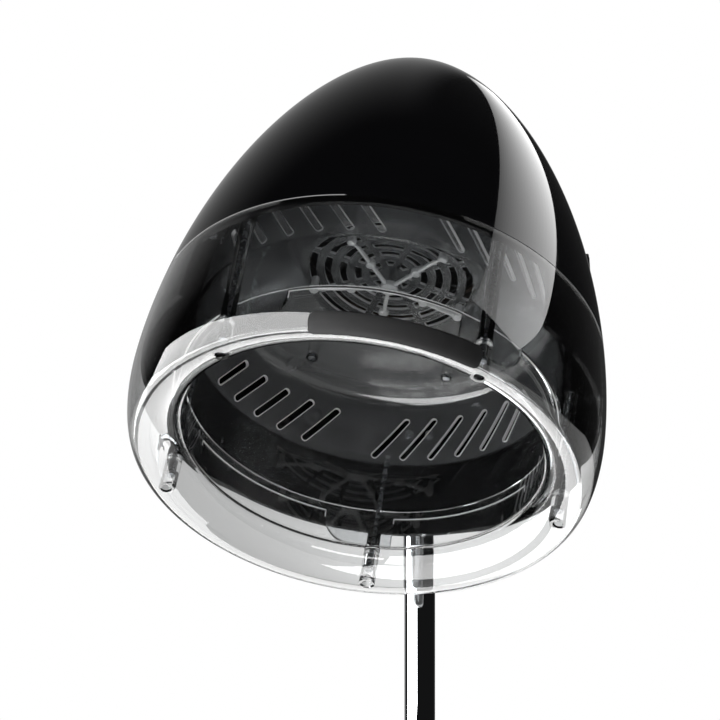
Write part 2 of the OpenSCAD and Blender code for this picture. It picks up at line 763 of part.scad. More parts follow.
module control_housing() {
    color("#101113") hood_frame() difference() {
        on_panel() translate([0, 0, -pod_depth]) linear_extrude(pod_depth) panel_outline(0);
        on_panel() translate([0, 0, -pod_depth - pod_wall]) linear_extrude(pod_depth) panel_outline(pod_wall);
        grown_egg(seat_gap, shell_low);
        for (place = [timer_at, heat_at]) at_panel(place) translate([0, 0, -pod_depth])
            cylinder(r = knob_stem_r + fit_gap, h = 2 * pod_depth);
        at_panel(switch_at) translate([0, 0, -pod_depth])
            linear_extrude(2 * pod_depth) square([switch_size.x, switch_size.y], center = true);
        at_panel(lamp_at) translate([0, 0, -pod_depth]) cylinder(r = lamp_r + screw_gap, h = 2 * pod_depth);
    }
}
unit_gap = 0.4;
stem_bite = 12;
hub_share = 0.5;
ridge_w = 5;
ridge_h = 1.8;
module knob(r) {
    translate([0, 0, knob_gap]) cylinder(r = r, h = knob_h - ridge_h);
    cylinder(r = r * hub_share, h = 2 * knob_gap);
    translate([0, 0, seat_gap]) cylinder(r = r * hub_share, h = knob_gap);
    translate([0, 0, knob_h + knob_gap - 2 * ridge_h]) intersection() {
        cylinder(r = r - ridge_h / 2, h = 2 * ridge_h);
        translate([-r, -ridge_w / 2, 0]) cube([2 * r, ridge_w, 2 * ridge_h]);
    }
    translate([0, 0, -pod_wall - stem_bite]) cylinder(r = knob_stem_r, h = pod_wall + stem_bite + knob_gap);
}
module timer_dial() {
    color("#1d1e21") hood_frame() at_panel(timer_at) translate([0, 0, seat_gap]) knob(timer_r);
}
module heat_knob() {
    color("#1d1e21") hood_frame() at_panel(heat_at) translate([0, 0, seat_gap]) knob(heat_r);
}
timer_unit_r = 13;
timer_unit_h = 26;
heat_unit_r = 10;
heat_unit_h = 20;
module unit(r, h) {
    translate([0, 0, -pod_wall - unit_gap - h]) difference() {
        cylinder(r = r, h = h);
        translate([0, 0, h - 2 * stem_bite]) cylinder(r = knob_stem_r + fit_gap, h = 3 * stem_bite);
    }
}
module timer_unit() {
    color("#c9c4b5") hood_frame() at_panel(timer_at) unit(timer_unit_r, timer_unit_h + stem_bite);
}
module thermostat_unit() {
    color("#bfc2c6") hood_frame() at_panel(heat_at) unit(heat_unit_r, heat_unit_h + stem_bite / 2);
}
rocker_proud = 2;
rocker_pivot_depth = 3;
module rocker_switch() {
    size = [switch_size.x - 2 * switch_gap, switch_size.y - 2 * switch_gap];
    color("#141416") hood_frame() at_panel(switch_at) intersection() {
        translate([0, 0, -rocker_pivot_depth]) rotate([0, 90, 0])
            cylinder(r = size.y / 2, h = size.x, center = true);
        translate([0, 0, rocker_proud / 2 - rocker_pivot_depth / 2])
            cube([size.x, size.y, rocker_proud + rocker_pivot_depth], center = true);
    }
}
switch_unit_h = 16;
switch_unit_lip = 1;
module switch_unit() {
    color("#222327") hood_frame() at_panel(switch_at) difference() {
        translate([0, 0, -pod_wall - unit_gap - switch_unit_h]) linear_extrude(switch_unit_h)
            square([switch_size.x + 2 * switch_unit_lip, switch_size.y + 2 * switch_unit_lip], center = true);
        translate([0, 0, -rocker_pivot_depth]) rotate([0, 90, 0])
            cylinder(r = switch_size.y / 2 - seat_gap, h = switch_size.x, center = true);
    }
}
lamp_h = 2;
lamp_lip = 1;
lamp_length = 14;
module mains_lamp() {
    color("#b3341f") hood_frame() at_panel(lamp_at) {
        translate([0, 0, seat_gap]) cylinder(r = lamp_r + lamp_lip, h = lamp_h);
        translate([0, 0, -lamp_length]) cylinder(r = lamp_r, h = lamp_length + lamp_h);
    }
}

// Tilt bracket behind the hood
saddle_mid_h = 166;
bolt_r = 2.5;
bolt_head_r = 4.5;
bolt_head_h = 4;
bolt_head_gap = 1;
bolt_seat = 8;
bolt_length = 24;
bolt_turn = 3;
bolt_rise = 24;
nut_r = 4.6;
nut_h = 4;
module each_bracket_bolt() {
    for (turn = [-bolt_turn, bolt_turn], rise = [-bolt_rise, bolt_rise])
        on_egg(90 + turn, saddle_mid_h + rise) children();
}
cheek_rise = 24;
cheek_share = 0.65;
module cheek_outline() {
    translate([hinge_back, hinge_up]) circle(r = eye_r);
    high = saddle_mid_h + cheek_rise;
    low = saddle_mid_h - saddle_h / 2;
    polygon([[hinge_back + eye_r * cheek_share, hinge_up + eye_r * cheek_share],
        [hinge_back - eye_r * cheek_share, hinge_up - eye_r * cheek_share],
        [hood_radius(low), low], [hood_radius(high), high]]);
}
module tilt_bracket() {
    color("#121315") bracket_frame() difference() {
        union() {
            on_egg(90, saddle_mid_h) cube([saddle_h, saddle_w, 2 * saddle_t], center = true);
            for (side = [-1, 1]) translate([side * (cheek_x + cheek_w / 2), 0, 0])
                rotate([90, 0, 90]) linear_extrude(cheek_w, center = true) cheek_outline();
        }
        grown_egg(seat_gap, shell_low);
        each_bracket_bolt() {
            translate([0, 0, -bolt_length]) cylinder(r = bolt_r + screw_gap, h = 2 * bolt_length);
            translate([0, 0, bolt_seat]) cylinder(r = bolt_head_r + bolt_head_gap, h = saddle_w);
        }
        translate([0, hinge_back, hinge_up]) rotate([0, 90, 0])
            cylinder(r = pin_r + fit_gap, h = 4 * cheek_x, center = true);
    }
}
module bracket_bolts() {
    color("#a9acb0") bracket_frame() each_bracket_bolt() {
        translate([0, 0, bolt_seat + seat_gap / 2]) cylinder(r = bolt_head_r, h = bolt_head_h);
        translate([0, 0, bolt_seat - bolt_length + bolt_head_h]) cylinder(r = bolt_r, h = bolt_length);
    }
}
module bracket_nuts() {
    color("#8f9296") bracket_frame() each_bracket_bolt() translate([0, 0, -shell_wall - seat_gap - nut_h])
        difference() {
            cylinder(r = nut_r, h = nut_h, $fn = 6);
            translate([0, 0, -overrun]) cylinder(r = bolt_r + screw_gap, h = nut_h + 2 * overrun);
        }
}

// Gland for the mains lead, beside the bracket
gland_turn = 122;
gland_h = 142;
gland_r = 8;
gland_bore_r = 4;
gland_flange_r = 12;
gland_flange_h = 5;
gland_step = 1;
gland_length = 12;
module cable_gland() {
    color("#1a1b1d") bracket_frame() on_egg(gland_turn, gland_h) difference() {
        union() {
            translate([0, 0, 2 * seat_gap]) cylinder(r = gland_flange_r, h = gland_flange_h);
            translate([0, 0, -gland_length]) cylinder(r = gland_r, h = gland_length + gland_flange_h);
            translate([0, 0, gland_flange_h]) cylinder(r = gland_r - gland_step, h = 2 * gland_flange_h);
        }
        translate([0, 0, -gland_length - overrun])
            cylinder(r = gland_bore_r, h = gland_length + 3 * gland_flange_h + 2 * overrun);
    }
}

// Hinge: the pin, its washers and the clamp knob
washer_t = 1;
washer_gap = 0.1;
washer_inset = 1;
eye_half = cheek_x - washer_t - 2 * washer_gap;
pin_head_r = 8;
pin_head_t = 5;
pin_end = 15;
cheek_out = cheek_x + cheek_w;
module at_hinge() {
    bracket_frame() translate([0, hinge_back, hinge_up]) rotate([0, 90, 0]) children();
}
module hinge_pin() {
    color("#a9acb0") at_hinge() {
        translate([0, 0, -cheek_out - seat_gap - pin_head_t]) cylinder(r = pin_head_r, h = pin_head_t);
        translate([0, 0, -cheek_out - pin_head_t])
            cylinder(r = pin_r, h = 2 * cheek_out + pin_head_t + pin_end);
    }
}
module friction_washers() {
    color("#d8d4c4") at_hinge() for (side = [-1, 1])
        translate([0, 0, side * (cheek_x - washer_gap - washer_t / 2) - washer_t / 2])
        tube(eye_r - washer_inset, pin_r + 2 * screw_gap, 0, washer_t);
}
lobe_count = 6;
lobe_r = 4.5;
lobe_inset = 1;
grip_r = 13;
grip_h = 16;
knob_neck_r = 10;
knob_neck_h = 8;
module hand_knob() {
    cylinder(r = knob_neck_r, h = knob_neck_h);
    translate([0, 0, knob_neck_h / 2]) {
        cylinder(r = grip_r, h = grip_h);
        for (i = [0:lobe_count - 1]) rotate([0, 0, 360 / lobe_count * (i + 1 / 2)])
            translate([grip_r, 0, lobe_inset]) cylinder(r = lobe_r, h = grip_h - 2 * lobe_inset);
    }
}
module tilt_knob() {
    color("#151618") at_hinge() translate([0, 0, cheek_out + seat_gap]) difference() {
        hand_knob();
        translate([0, 0, -overrun]) cylinder(r = pin_r + fit_gap, h = pin_end + overrun);
    }
}

// Head on top of the mast: turns about the mast and carries the hinge
cap_r = 17.5;
cap_drop = 15.5;
cap_h = 24;
cap_high = hinge_z - cap_drop;
cap_low = cap_high - cap_h;
neck_eye_inset = 0.5;
cap_roof = 5;
neck_w = 26;
module swivel_head() {
    color("#141517") translate([0, mast_y, 0]) difference() {
        union() {
            translate([0, 0, cap_low]) cylinder(r = cap_r, h = cap_h);
            translate([0, 0, hinge_z]) rotate([0, 90, 0])
                cylinder(r = eye_r - neck_eye_inset, h = 2 * eye_half, center = true);
            translate([-eye_half, -neck_w / 2, cap_high - cap_roof / 2])
                cube([2 * eye_half, neck_w, hinge_z - cap_high]);
        }
        translate([0, 0, cap_low - overrun])
            cylinder(r = inner_tube_r + fit_gap, h = cap_h - cap_roof + overrun);
        translate([0, 0, hinge_z]) rotate([0, 90, 0])
            cylinder(r = pin_r + fit_gap, h = 4 * cheek_x, center = true);
        translate([0, 0, cap_low + swivel_screw_up]) rotate([-90, 0, 0])
            cylinder(r = swivel_screw_r + screw_gap, h = 2 * cap_r);
    }
}
swivel_screw_r = 3;
swivel_screw_up = 10;
module swivel_screw() {
    color("#9a9da1") translate([0, mast_y, cap_low + swivel_screw_up]) rotate([-90, 0, 0])
        translate([0, 0, inner_tube_r + 2 * seat_gap])
        difference() {
            cylinder(r = swivel_screw_r, h = cap_r - inner_tube_r);
            translate([0, 0, cap_r - inner_tube_r - swivel_screw_r / 2])
                cylinder(r = swivel_screw_r / 2, h = cap_r, $fn = 6);
        }
}

// Mast: the upper tube slides in the lower one through a bush, and a clamp collar holds it
inner_tube_high = cap_high - cap_roof - seat_gap;
outer_bore_r = outer_tube_r - tube_wall;
module inner_tube() {
    color("#cfd2d6") translate([0, mast_y, 0])
        tube(inner_tube_r, inner_tube_r - tube_wall, inner_tube_low, inner_tube_high);
}
mast_foot_h = 30;
module mast_foot() {
    color("#26282b") translate([0, mast_y, 0]) {
        tube(outer_bore_r - 2 * fit_gap, inner_tube_r - 3 * tube_wall,
            inner_tube_low - mast_foot_h / 2, inner_tube_low - seat_gap);
        tube(inner_tube_r - tube_wall - fit_gap, inner_tube_r - 3 * tube_wall,
            inner_tube_low - mast_foot_h / 2, inner_tube_low + mast_foot_h / 2);
    }
}
bush_h = 46;
bush_lip_h = 3;
module mast_bush() {
    color("#26282b") translate([0, mast_y, 0]) difference() {
        union() {
            tube(outer_bore_r - fit_gap, inner_tube_r + fit_gap,
                outer_tube_top - bush_h, outer_tube_top + seat_gap);
            tube(outer_tube_r, inner_tube_r + fit_gap,
                outer_tube_top + seat_gap, outer_tube_top + seat_gap + bush_lip_h);
        }
        clamp_hole();
    }
}
base_socket_z = 70;
module outer_tube() {
    color("#cfd2d6") translate([0, mast_y, 0]) difference() {
        tube(outer_tube_r, outer_bore_r, base_socket_z, outer_tube_top);
        clamp_hole();
    }
}
collar_h = 36;
clamp_boss_r = 11;
clamp_boss_out = 32;
clamp_r = 4;
clamp_collar_r = 25;
clamp_z = outer_tube_top - collar_h / 2 - bush_lip_h;
module clamp_hole() {
    translate([0, 0, clamp_z]) rotate([0, 90, 0]) cylinder(r = clamp_r + screw_gap, h = 2 * clamp_boss_out);
}
module height_collar() {
    color("#121315") translate([0, mast_y, 0]) difference() {
        union() {
            tube(clamp_collar_r, outer_tube_r + seat_gap / 2, clamp_z - collar_h / 2, clamp_z + collar_h / 2);
            translate([outer_tube_r + tube_wall, 0, clamp_z]) rotate([0, 90, 0])
                cylinder(r = clamp_boss_r, h = clamp_boss_out - outer_tube_r - tube_wall);
        }
        clamp_hole();
    }
}
module height_knob() {
    color("#151618") translate([clamp_boss_out + seat_gap, mast_y, clamp_z]) rotate([0, 90, 0]) {
        hand_knob();
        tip = clamp_boss_out - inner_tube_r;
        translate([0, 0, -tip]) cylinder(r = clamp_r, h = tip + grip_h);
    }
}

// Star base
castor_stem_z = 52;
leg_end_low = castor_stem_z;
leg_arch = 14;
hub_floor_t = 8;
hub_low = base_socket_z - hub_floor_t;
hub_h = 46;
leg_root_rise = 2;
leg_root_low = hub_low + leg_root_rise;
leg_knee_share = 2 / 3;
module leg() {
    intersection() {
        rotate([90, 0, 0]) linear_extrude(leg_root_w, center = true) polygon([
            [0, leg_root_low], [hub_r, leg_root_low], [leg_reach * leg_knee_share, leg_end_low + leg_arch / 2],
            [leg_reach, leg_end_low], [leg_reach, leg_end_low + leg_end_h],
            [leg_reach * leg_knee_share, leg_end_low + leg_end_h + leg_arch * leg_knee_share],
            [hub_r, leg_root_low + leg_root_h], [0, leg_root_low + leg_root_h]]);
        linear_extrude(3 * hub_h) polygon([[0, -leg_root_w / 2], [leg_reach, -leg_end_w / 2],
            [leg_reach, leg_end_w / 2], [0, leg_root_w / 2]]);
    }
    translate([leg_reach, 0, leg_end_low]) cylinder(r = leg_end_w / 2, h = leg_end_h);
}
module each_leg() {
    for (k = [0:leg_count - 1]) rotate([0, 0, -90 + leg_step * k]) children();
}
module star_base() {
    color("#15161a") translate([0, mast_y, 0]) difference() {
        union() {
            translate([0, 0, hub_low]) cylinder(r = hub_r, h = hub_h);
            each_leg() leg();
        }
        translate([0, 0, base_socket_z - seat_gap]) cylinder(r = outer_tube_r + fit_gap, h = 2 * hub_h);
        each_leg() translate([leg_reach, 0, leg_end_low - overrun])
            cylinder(r = stem_r + fit_gap, h = leg_end_h + overrun - cap_roof / 2);
    }
}
cover_h = 22;
cover_rim = 6;
cover_fillet_r = 4;
module hub_cover() {
    low = hub_low + hub_h + seat_gap;
    color("#b9bcc0") translate([0, mast_y, 0]) rotate_extrude() polygon(rounded(
        [[outer_tube_r + seat_gap, low], [hub_r, low], [hub_r, low + cover_rim],
         [outer_tube_r + cover_rim, low + cover_h], [outer_tube_r + seat_gap, low + cover_h]],
        [0, 0, cover_fillet_r, cover_fillet_r, 0]));
}

// Castors: a swivelling body between two wheels on one axle, trailing outwards along its leg
axle_r = 3;
castor_side_gap = 0.5;
castor_body_w = castor_gap - 2 * castor_side_gap;
castor_neck_step = 4;
castor_flange_t = 2;
wheel_gap = 1;
axle_inset = 1;
stem_top_gap = 1;
module castor_frame(k) {
    translate([0, mast_y, 0]) rotate([0, 0, -90 + leg_step * (k - 1)]) translate([leg_reach, 0, 0]) children();
}
module castor_body(k) {
    top = leg_end_low - seat_gap;
    color("#1b1c1f") castor_frame(k) difference() {
        union() {
            translate([castor_trail, 0, wheel_r]) rotate([90, 0, 0])
                intersection() {
                    cylinder(r = wheel_r, h = castor_body_w, center = true);
                    translate([-wheel_r, -wheel_r / 2, -wheel_r]) cube([2 * wheel_r, 2 * wheel_r, 2 * wheel_r]);
                }
            translate([0, 0, wheel_r + castor_neck_step])
                cylinder(r = castor_body_w / 2 + castor_neck_step, h = top - wheel_r - castor_neck_step);
            translate([0, -castor_body_w / 2, wheel_r])
                cube([castor_trail, castor_body_w, wheel_r - wheel_gap]);
            translate([0, 0, top - castor_flange_t])
                cylinder(r = leg_end_w / 2 - wheel_gap, h = castor_flange_t);
            cylinder(r = stem_r, h = leg_end_low + leg_end_h - cap_roof / 2 - stem_top_gap);
        }
        translate([-castor_trail, -castor_half, -overrun])
            cube([2 * castor_trail, 2 * castor_half, wheel_r + overrun - wheel_gap]);
        for (side = [-1, 1]) translate([castor_trail, side * (castor_body_w / 2 + wheel_w), wheel_r])
            rotate([90, 0, 0]) cylinder(r = wheel_r + wheel_gap, h = 2 * wheel_w, center = true);
        translate([castor_trail, 0, wheel_r]) rotate([90, 0, 0])
            cylinder(r = axle_r + fit_gap, h = 2 * castor_half, center = true);
    }
}
module castor_axle(k) {
    color("#a9acb0") castor_frame(k) translate([castor_trail, 0, wheel_r]) rotate([90, 0, 0])
        cylinder(r = axle_r, h = 2 * (castor_half - axle_inset), center = true);
}
tread_r = 2;
module castor_wheels(k) {
    color("#232427") castor_frame(k) for (side = [-1, 1])
        translate([castor_trail, side * (castor_gap / 2 + wheel_w / 2), wheel_r]) rotate([90, 0, 0])
        difference() {
            rotate_extrude() translate([0, -wheel_w / 2]) polygon(rounded(
                [[0, 0], [wheel_r, 0], [wheel_r, wheel_w], [0, wheel_w]], [0, tread_r, tread_r, 0]));
            cylinder(r = axle_r + fit_gap, h = 2 * wheel_w, center = true);
        }
}

shell();
visor();
front_grip();
inner_dome();
crown_guard();
dome_screws();
visor_columns();
visor_screws();
plenum();
plenum_screws();
heater_former();
heater_element();
fan_wheel();
motor_shaft();
motor();
motor_mount();
motor_bolts();
thermal_cutout();
control_housing();
timer_dial();
heat_knob();
rocker_switch();
mains_lamp();
timer_unit();
thermostat_unit();
switch_unit();
tilt_bracket();
bracket_bolts();
bracket_nuts();
cable_gland();
hinge_pin();
friction_washers();
tilt_knob();
swivel_head();
swivel_screw();
inner_tube();
mast_foot();
mast_bush();
outer_tube();
height_collar();
height_knob();
star_base();
hub_cover();
for (k = [1:leg_count]) {
    castor_body(k);
    castor_axle(k);
    castor_wheels(k);
}
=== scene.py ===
# %% [markdown]
# # A salon hood dryer on its stand
# The hood is a black egg shell. Round its mouth sits a clear ring with a rolled rim, and inside
# hangs a clear, slightly smoky dome with slots. A bright tube carries it on a five-legged base.
# The frame comes from the part's own solids. They have the right sizes, but their curves are made
# of flat facets, and glossy plastic shows every facet. So this lesson builds the curved pieces
# again with smooth surfaces, copies the others with softened edges, and gives all their finishes.

# %% Load the frame
import json
import math
import bmesh
import bpy
from mathutils import Matrix, Vector

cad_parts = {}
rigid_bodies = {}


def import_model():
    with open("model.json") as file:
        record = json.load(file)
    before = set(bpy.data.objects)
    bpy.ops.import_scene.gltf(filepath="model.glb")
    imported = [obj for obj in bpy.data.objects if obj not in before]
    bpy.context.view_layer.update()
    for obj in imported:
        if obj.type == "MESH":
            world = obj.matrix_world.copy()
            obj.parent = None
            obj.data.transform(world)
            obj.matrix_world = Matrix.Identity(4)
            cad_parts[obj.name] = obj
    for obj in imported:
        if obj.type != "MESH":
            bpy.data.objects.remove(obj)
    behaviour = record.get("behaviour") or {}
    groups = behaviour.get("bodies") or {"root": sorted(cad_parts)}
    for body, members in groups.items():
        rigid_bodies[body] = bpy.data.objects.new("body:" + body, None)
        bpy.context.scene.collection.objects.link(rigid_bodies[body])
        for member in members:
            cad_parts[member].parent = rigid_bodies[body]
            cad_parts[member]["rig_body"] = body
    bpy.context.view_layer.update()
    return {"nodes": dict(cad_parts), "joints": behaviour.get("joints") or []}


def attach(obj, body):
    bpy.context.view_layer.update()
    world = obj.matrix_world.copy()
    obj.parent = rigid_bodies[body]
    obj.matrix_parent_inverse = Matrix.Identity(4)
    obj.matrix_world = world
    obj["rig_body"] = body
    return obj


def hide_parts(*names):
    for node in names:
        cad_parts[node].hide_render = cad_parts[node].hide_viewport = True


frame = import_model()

# %% [markdown]
# ## Where the hood stands
# Everything in the hood is described up its own axis, from the plane of its mouth, in
# millimetres. The place could be typed in, but then it would be wrong once the hood is moved. The
# fan turns on the hood's axis, so its joint says where the axis is. The round pieces are turned 8
# degrees on the bracket, so the hood has one frame for the bracket and one for them.

# %% The hood's two frames
MM = 0.001
TOUCH = MM / 1000
FAN_JOINT_H, CLOCK_TURN = 230, 8
fan_joint = next(joint for joint in frame["joints"] if joint["name"] == "fan_spin")
hood_up = Vector(fan_joint["axis"]).normalized()
mouth = Vector(fan_joint["pos_m"]) - hood_up * FAN_JOINT_H * MM
hood_across = Vector((1, 0, 0))
BRACKET = Matrix((hood_across, hood_up.cross(hood_across), hood_up)).transposed().to_4x4()
BRACKET.translation = mouth
HOOD = BRACKET @ Matrix.Rotation(math.radians(CLOCK_TURN), 4, "Z")
AS_MADE = Matrix.Identity(4)
print("the mouth's middle is at", [round(x, 4) for x in mouth])

# %% [markdown]
# ## Small helpers for shapes
# Most of the hood is round, so most pieces start as the outline of their wall, which is spun round
# the axis. A screw modifier could spin it too. Here bmesh does, because the result can be edited
# at once. A small circle needs fewer steps to look round than a big one. A finished piece keeps
# its place in its mesh, so its object stays at the origin.

# %% Outlines
def spaced(start, end, steps):
    """Evenly spaced values from start to end, both included."""
    return [start + (end - start) * i / steps for i in range(steps + 1)]


def arc(middle, rx, ry, start, end, steps):
    """Points on a stretch of an ellipse, in degrees from start to end."""
    turns = [math.radians(turn) for turn in spaced(start, end, steps)]
    return [(middle[0] + rx * math.cos(t), middle[1] + ry * math.sin(t)) for t in turns]


def rounded(points, radii, steps=8):
    """The same outline with each corner that has a radius turned into an arc."""
    made = []
    for i, radius in enumerate(radii):
        b = Vector(points[i])
        if not radius:
            made.append(tuple(b))
            continue
        to_a = (Vector(points[i - 1]) - b).normalized()
        to_c = (Vector(points[(i + 1) % len(points)]) - b).normalized()
        half = to_a.angle(to_c) / 2
        middle = b + (to_a + to_c).normalized() * radius / math.sin(half)
        first = b + to_a * radius / math.tan(half) - middle
        last = b + to_c * radius / math.tan(half) - middle
        start = math.degrees(math.atan2(first.y, first.x))
        sweep = (math.degrees(math.atan2(last.y, last.x)) - start + 540) % 360 - 180
        made += arc(middle, radius, radius, start, start + sweep, steps)
    return made


def beside(path, distance):
    """A path moved to its right; a point on the axis stays on the axis."""
    made = []
    for i, point in enumerate(path):
        ahead, behind = path[min(i + 1, len(path) - 1)], path[max(i - 1, 0)]
        t = Vector((ahead[0] - behind[0], ahead[1] - behind[1])).normalized()
        x = point[0] + t.y * distance
        made.append((0 if point[0] == 0 else x, point[1] - t.x * distance))
    return made


def tube_outline(low, high, inner, outer):
    """The outline of a straight tube's wall."""
    return [(inner, low), (outer, low), (outer, high), (inner, high)]


def bar_outline(low, high, r):
    """The outline of a solid round bar."""
    return tube_outline(low, high, 0, r)


def stepped_outline(low, step, high, wide, narrow):
    """A bar that is wide up to a step and narrow above it."""
    return [(0, low), (wide, low), (wide, step), (narrow, step), (narrow, high), (0, high)]


# %% Turned pieces
TINY_STEPS, SLIM_STEPS, SMALL_STEPS, BOSS_STEPS, WIDE_STEPS = 20, 24, 32, 40, 48


def join(bm, other, place=AS_MADE):
    """Adds other to bm at a place, and frees it."""
    bmesh.ops.transform(other, matrix=place, verts=other.verts)
    mesh = bpy.data.meshes.new("joined")
    other.to_mesh(mesh)
    bm.from_mesh(mesh)
    bpy.data.meshes.remove(mesh)
    other.free()


def turned(bm, outline, steps, place=AS_MADE, closed=True):
    """Spins an outline round Z and adds it to bm at a place."""
    made = bmesh.new()
    verts = [made.verts.new((x * MM, 0, z * MM)) for x, z in outline]
    for pair in zip(verts, verts[1:] + verts[:1] if closed else verts[1:]):
        made.edges.new(pair)
    bmesh.ops.spin(made, geom=made.verts[:] + made.edges[:], cent=(0, 0, 0), axis=(0, 0, 1),
                   dvec=(0, 0, 0), angle=math.tau, steps=steps, use_merge=True,
                   use_normal_flip=False, use_duplicate=False)
    bmesh.ops.remove_doubles(made, verts=made.verts, dist=TOUCH)
    bmesh.ops.recalc_face_normals(made, faces=made.faces)
    join(bm, made, place)


def around(turn, radius, height=0):
    """A place in the hood, where X points outwards."""
    out = Matrix.Translation((radius * MM, 0, height * MM))
    return Matrix.Rotation(math.radians(turn), 4, "Z") @ out


def turned_at(bm, turns, radius, outline, steps):
    """Adds one turned shape at each of the turns on a circle."""
    for turn in turns:
        turned(bm, outline, steps, around(turn, radius))


# %% Objects and pieces
SHARP = 32


def made_object(name, bm, finishes, place=HOOD, sharp=SHARP):
    """Turns a bmesh into an object at the origin, smooth but for its sharp edges."""
    bmesh.ops.transform(bm, matrix=place, verts=bm.verts)
    mesh = bpy.data.meshes.new(name)
    bm.to_mesh(mesh)
    bm.free()
    mesh.shade_smooth()
    mesh.set_sharp_from_angle(angle=math.radians(sharp))
    made = bpy.data.objects.new(name, mesh)
    bpy.context.scene.collection.objects.link(made)
    for surface in finishes:
        mesh.materials.append(surface)
    return made


def piece(made, body, slot, *nodes):
    """Says what a new piece rides on and stands for, and hides those nodes. The slot is not used."""
    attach(made, body)
    if nodes:
        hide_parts(*nodes)
    print(made.name, len(made.data.polygons), "faces")


# %% [markdown]
# ## Small helpers for finishes
# A finish is a Principled shader. Real plastic and plate are never quite even, so a soft noise
# mixes two close tones and two roughnesses, and a finer one makes the relief. Pictures could do
# that too, but a pattern stays sharp at any distance. Pattern scales come from a real size in
# millimetres, and one function adds any node.

# %% Node helpers
def colour(text):
    """A hex sRGB colour as linear RGBA."""
    parts = [int(text[i:i + 2], 16) / 255 for i in (1, 3, 5)]
    return tuple(c / 12.92 if c <= 0.04045 else ((c + 0.055) / 1.055) ** 2.4 for c in parts) + (1,)


def add(tree, kind, inputs=None, **settings):
    """Adds one node with its settings. An input is a value or a socket to link from."""
    made = tree.nodes.new(kind)
    for key, value in settings.items():
        setattr(made, key, value)
    for key, value in (inputs or {}).items():
        if isinstance(value, bpy.types.NodeSocket):
            tree.links.new(value, made.inputs[key])
        else:
            made.inputs[key].default_value = value
    return made


def per_mm(size):
    """The scale at which a pattern repeats about every size millimetres."""
    return 1 / (size * MM)


# %% One function for every finish
CLOUD_LOW, CLOUD_HIGH, CLOUD_DETAIL, GRAIN_DETAIL = 0.3, 0.7, 4, 2


def finish(name, tones, gloss, cloud_mm, bump_mm=0, relief_mm=0.0, stretch=(1, 1, 1), **sockets):
    """A surface with two close tones, two roughnesses and a fine relief."""
    made = bpy.data.materials.new(name)
    made.use_nodes = True
    tree = made.node_tree
    shader = tree.nodes["Principled BSDF"]
    for key, value in sockets.items():
        shader.inputs[key.replace("_", " ")].default_value = value
    where = add(tree, "ShaderNodeTexCoord").outputs["Object"]
    where = add(tree, "ShaderNodeMapping", {"Vector": where, "Scale": stretch}).outputs["Vector"]
    cloud = add(tree, "ShaderNodeTexNoise",
                {"Vector": where, "Scale": per_mm(cloud_mm), "Detail": CLOUD_DETAIL}).outputs["Fac"]
    mixed = add(tree, "ShaderNodeMix", {"Factor": cloud}, data_type="RGBA")
    mixed.inputs[6].default_value, mixed.inputs[7].default_value = map(colour, tones)
    tree.links.new(mixed.outputs[2], shader.inputs["Base Color"])
    spread = add(tree, "ShaderNodeMapRange", {"Value": cloud, "From Min": CLOUD_LOW, "From Max": CLOUD_HIGH,
                                              "To Min": gloss[0], "To Max": gloss[1]})
    tree.links.new(spread.outputs["Result"], shader.inputs["Roughness"])
    if bump_mm:
        grain = add(tree, "ShaderNodeTexNoise",
                    {"Vector": where, "Scale": per_mm(bump_mm), "Detail": GRAIN_DETAIL})
        bump = add(tree, "ShaderNodeBump", {"Height": grain.outputs["Fac"], "Distance": relief_mm * MM})
        tree.links.new(bump.outputs["Normal"], shader.inputs["Normal"])
    return made


# %% [markdown]
# ## The clear plastics
# The ring, the dome and the rods are polycarbonate. It bends light more than window glass, so its
# index of refraction is 1.585. The dome has a touch of smoke, and its upper part is satin from the
# mould, which hides what is behind it. Rounded edges look lighter than flat walls, because light
# that runs inside the wall comes out there. A path tracer would need very many samples to find
# that light, so edges and rods get a paler and less clear finish instead: a painted highlight.

# %% Clear plastics
PC_IOR = 1.585
clear_pc = finish("clear polycarbonate, moulded", ("#fafbfb", "#ffffff"), (0.0, 0.015), 50,
                  bump_mm=40, relief_mm=0.03, IOR=PC_IOR, Transmission_Weight=1.0)
smoke_pc = finish("light smoke polycarbonate, moulded", ("#e4e6e8", "#ebedee"), (0.0, 0.02), 45,
                  IOR=PC_IOR, Transmission_Weight=1.0)
hazy_pc = finish("light smoke polycarbonate, satin from its mould", ("#c4c6c8", "#d2d4d6"),
                 (0.09, 0.14), 45, IOR=PC_IOR, Transmission_Weight=0.9)
# The guard's rods get a paler, less clear finish than the ring, a painted highlight.
rod_highlight_paint_pc = finish("clear polycarbonate rod, painted pale for its highlight", ("#f4f5f6", "#fcfdfd"), (0.04, 0.08), 20,
                   IOR=PC_IOR, Transmission_Weight=0.35)
# A pale, opaque edge finish: a painted glint on slot walls, grille walls and lips.
painted_glint_pc = finish("polycarbonate edge, with a painted glint", ("#f4f5f6", "#fdfdfe"), (0.12, 0.25), 8,
                 bump_mm=2, relief_mm=0.02, IOR=PC_IOR)
red_lens = finish("red acrylic lens, moulded", ("#b3201a", "#c9352a"), (0.06, 0.12), 5,
                  bump_mm=1.5, relief_mm=0.05, IOR=1.49, Transmission_Weight=0.4)
print("clear plastics with an index of", PC_IOR)

# %% [markdown]
# ## The other plastics
# The shell is injection moulded ABS, polished in the mould: black, with sharp reflections and a
# very slight waviness. Knobs and castors are rough black polypropylene, as a hand or a floor soon
# scratches anything glossy. The grip is a soft elastomer, which mirrors almost nothing.

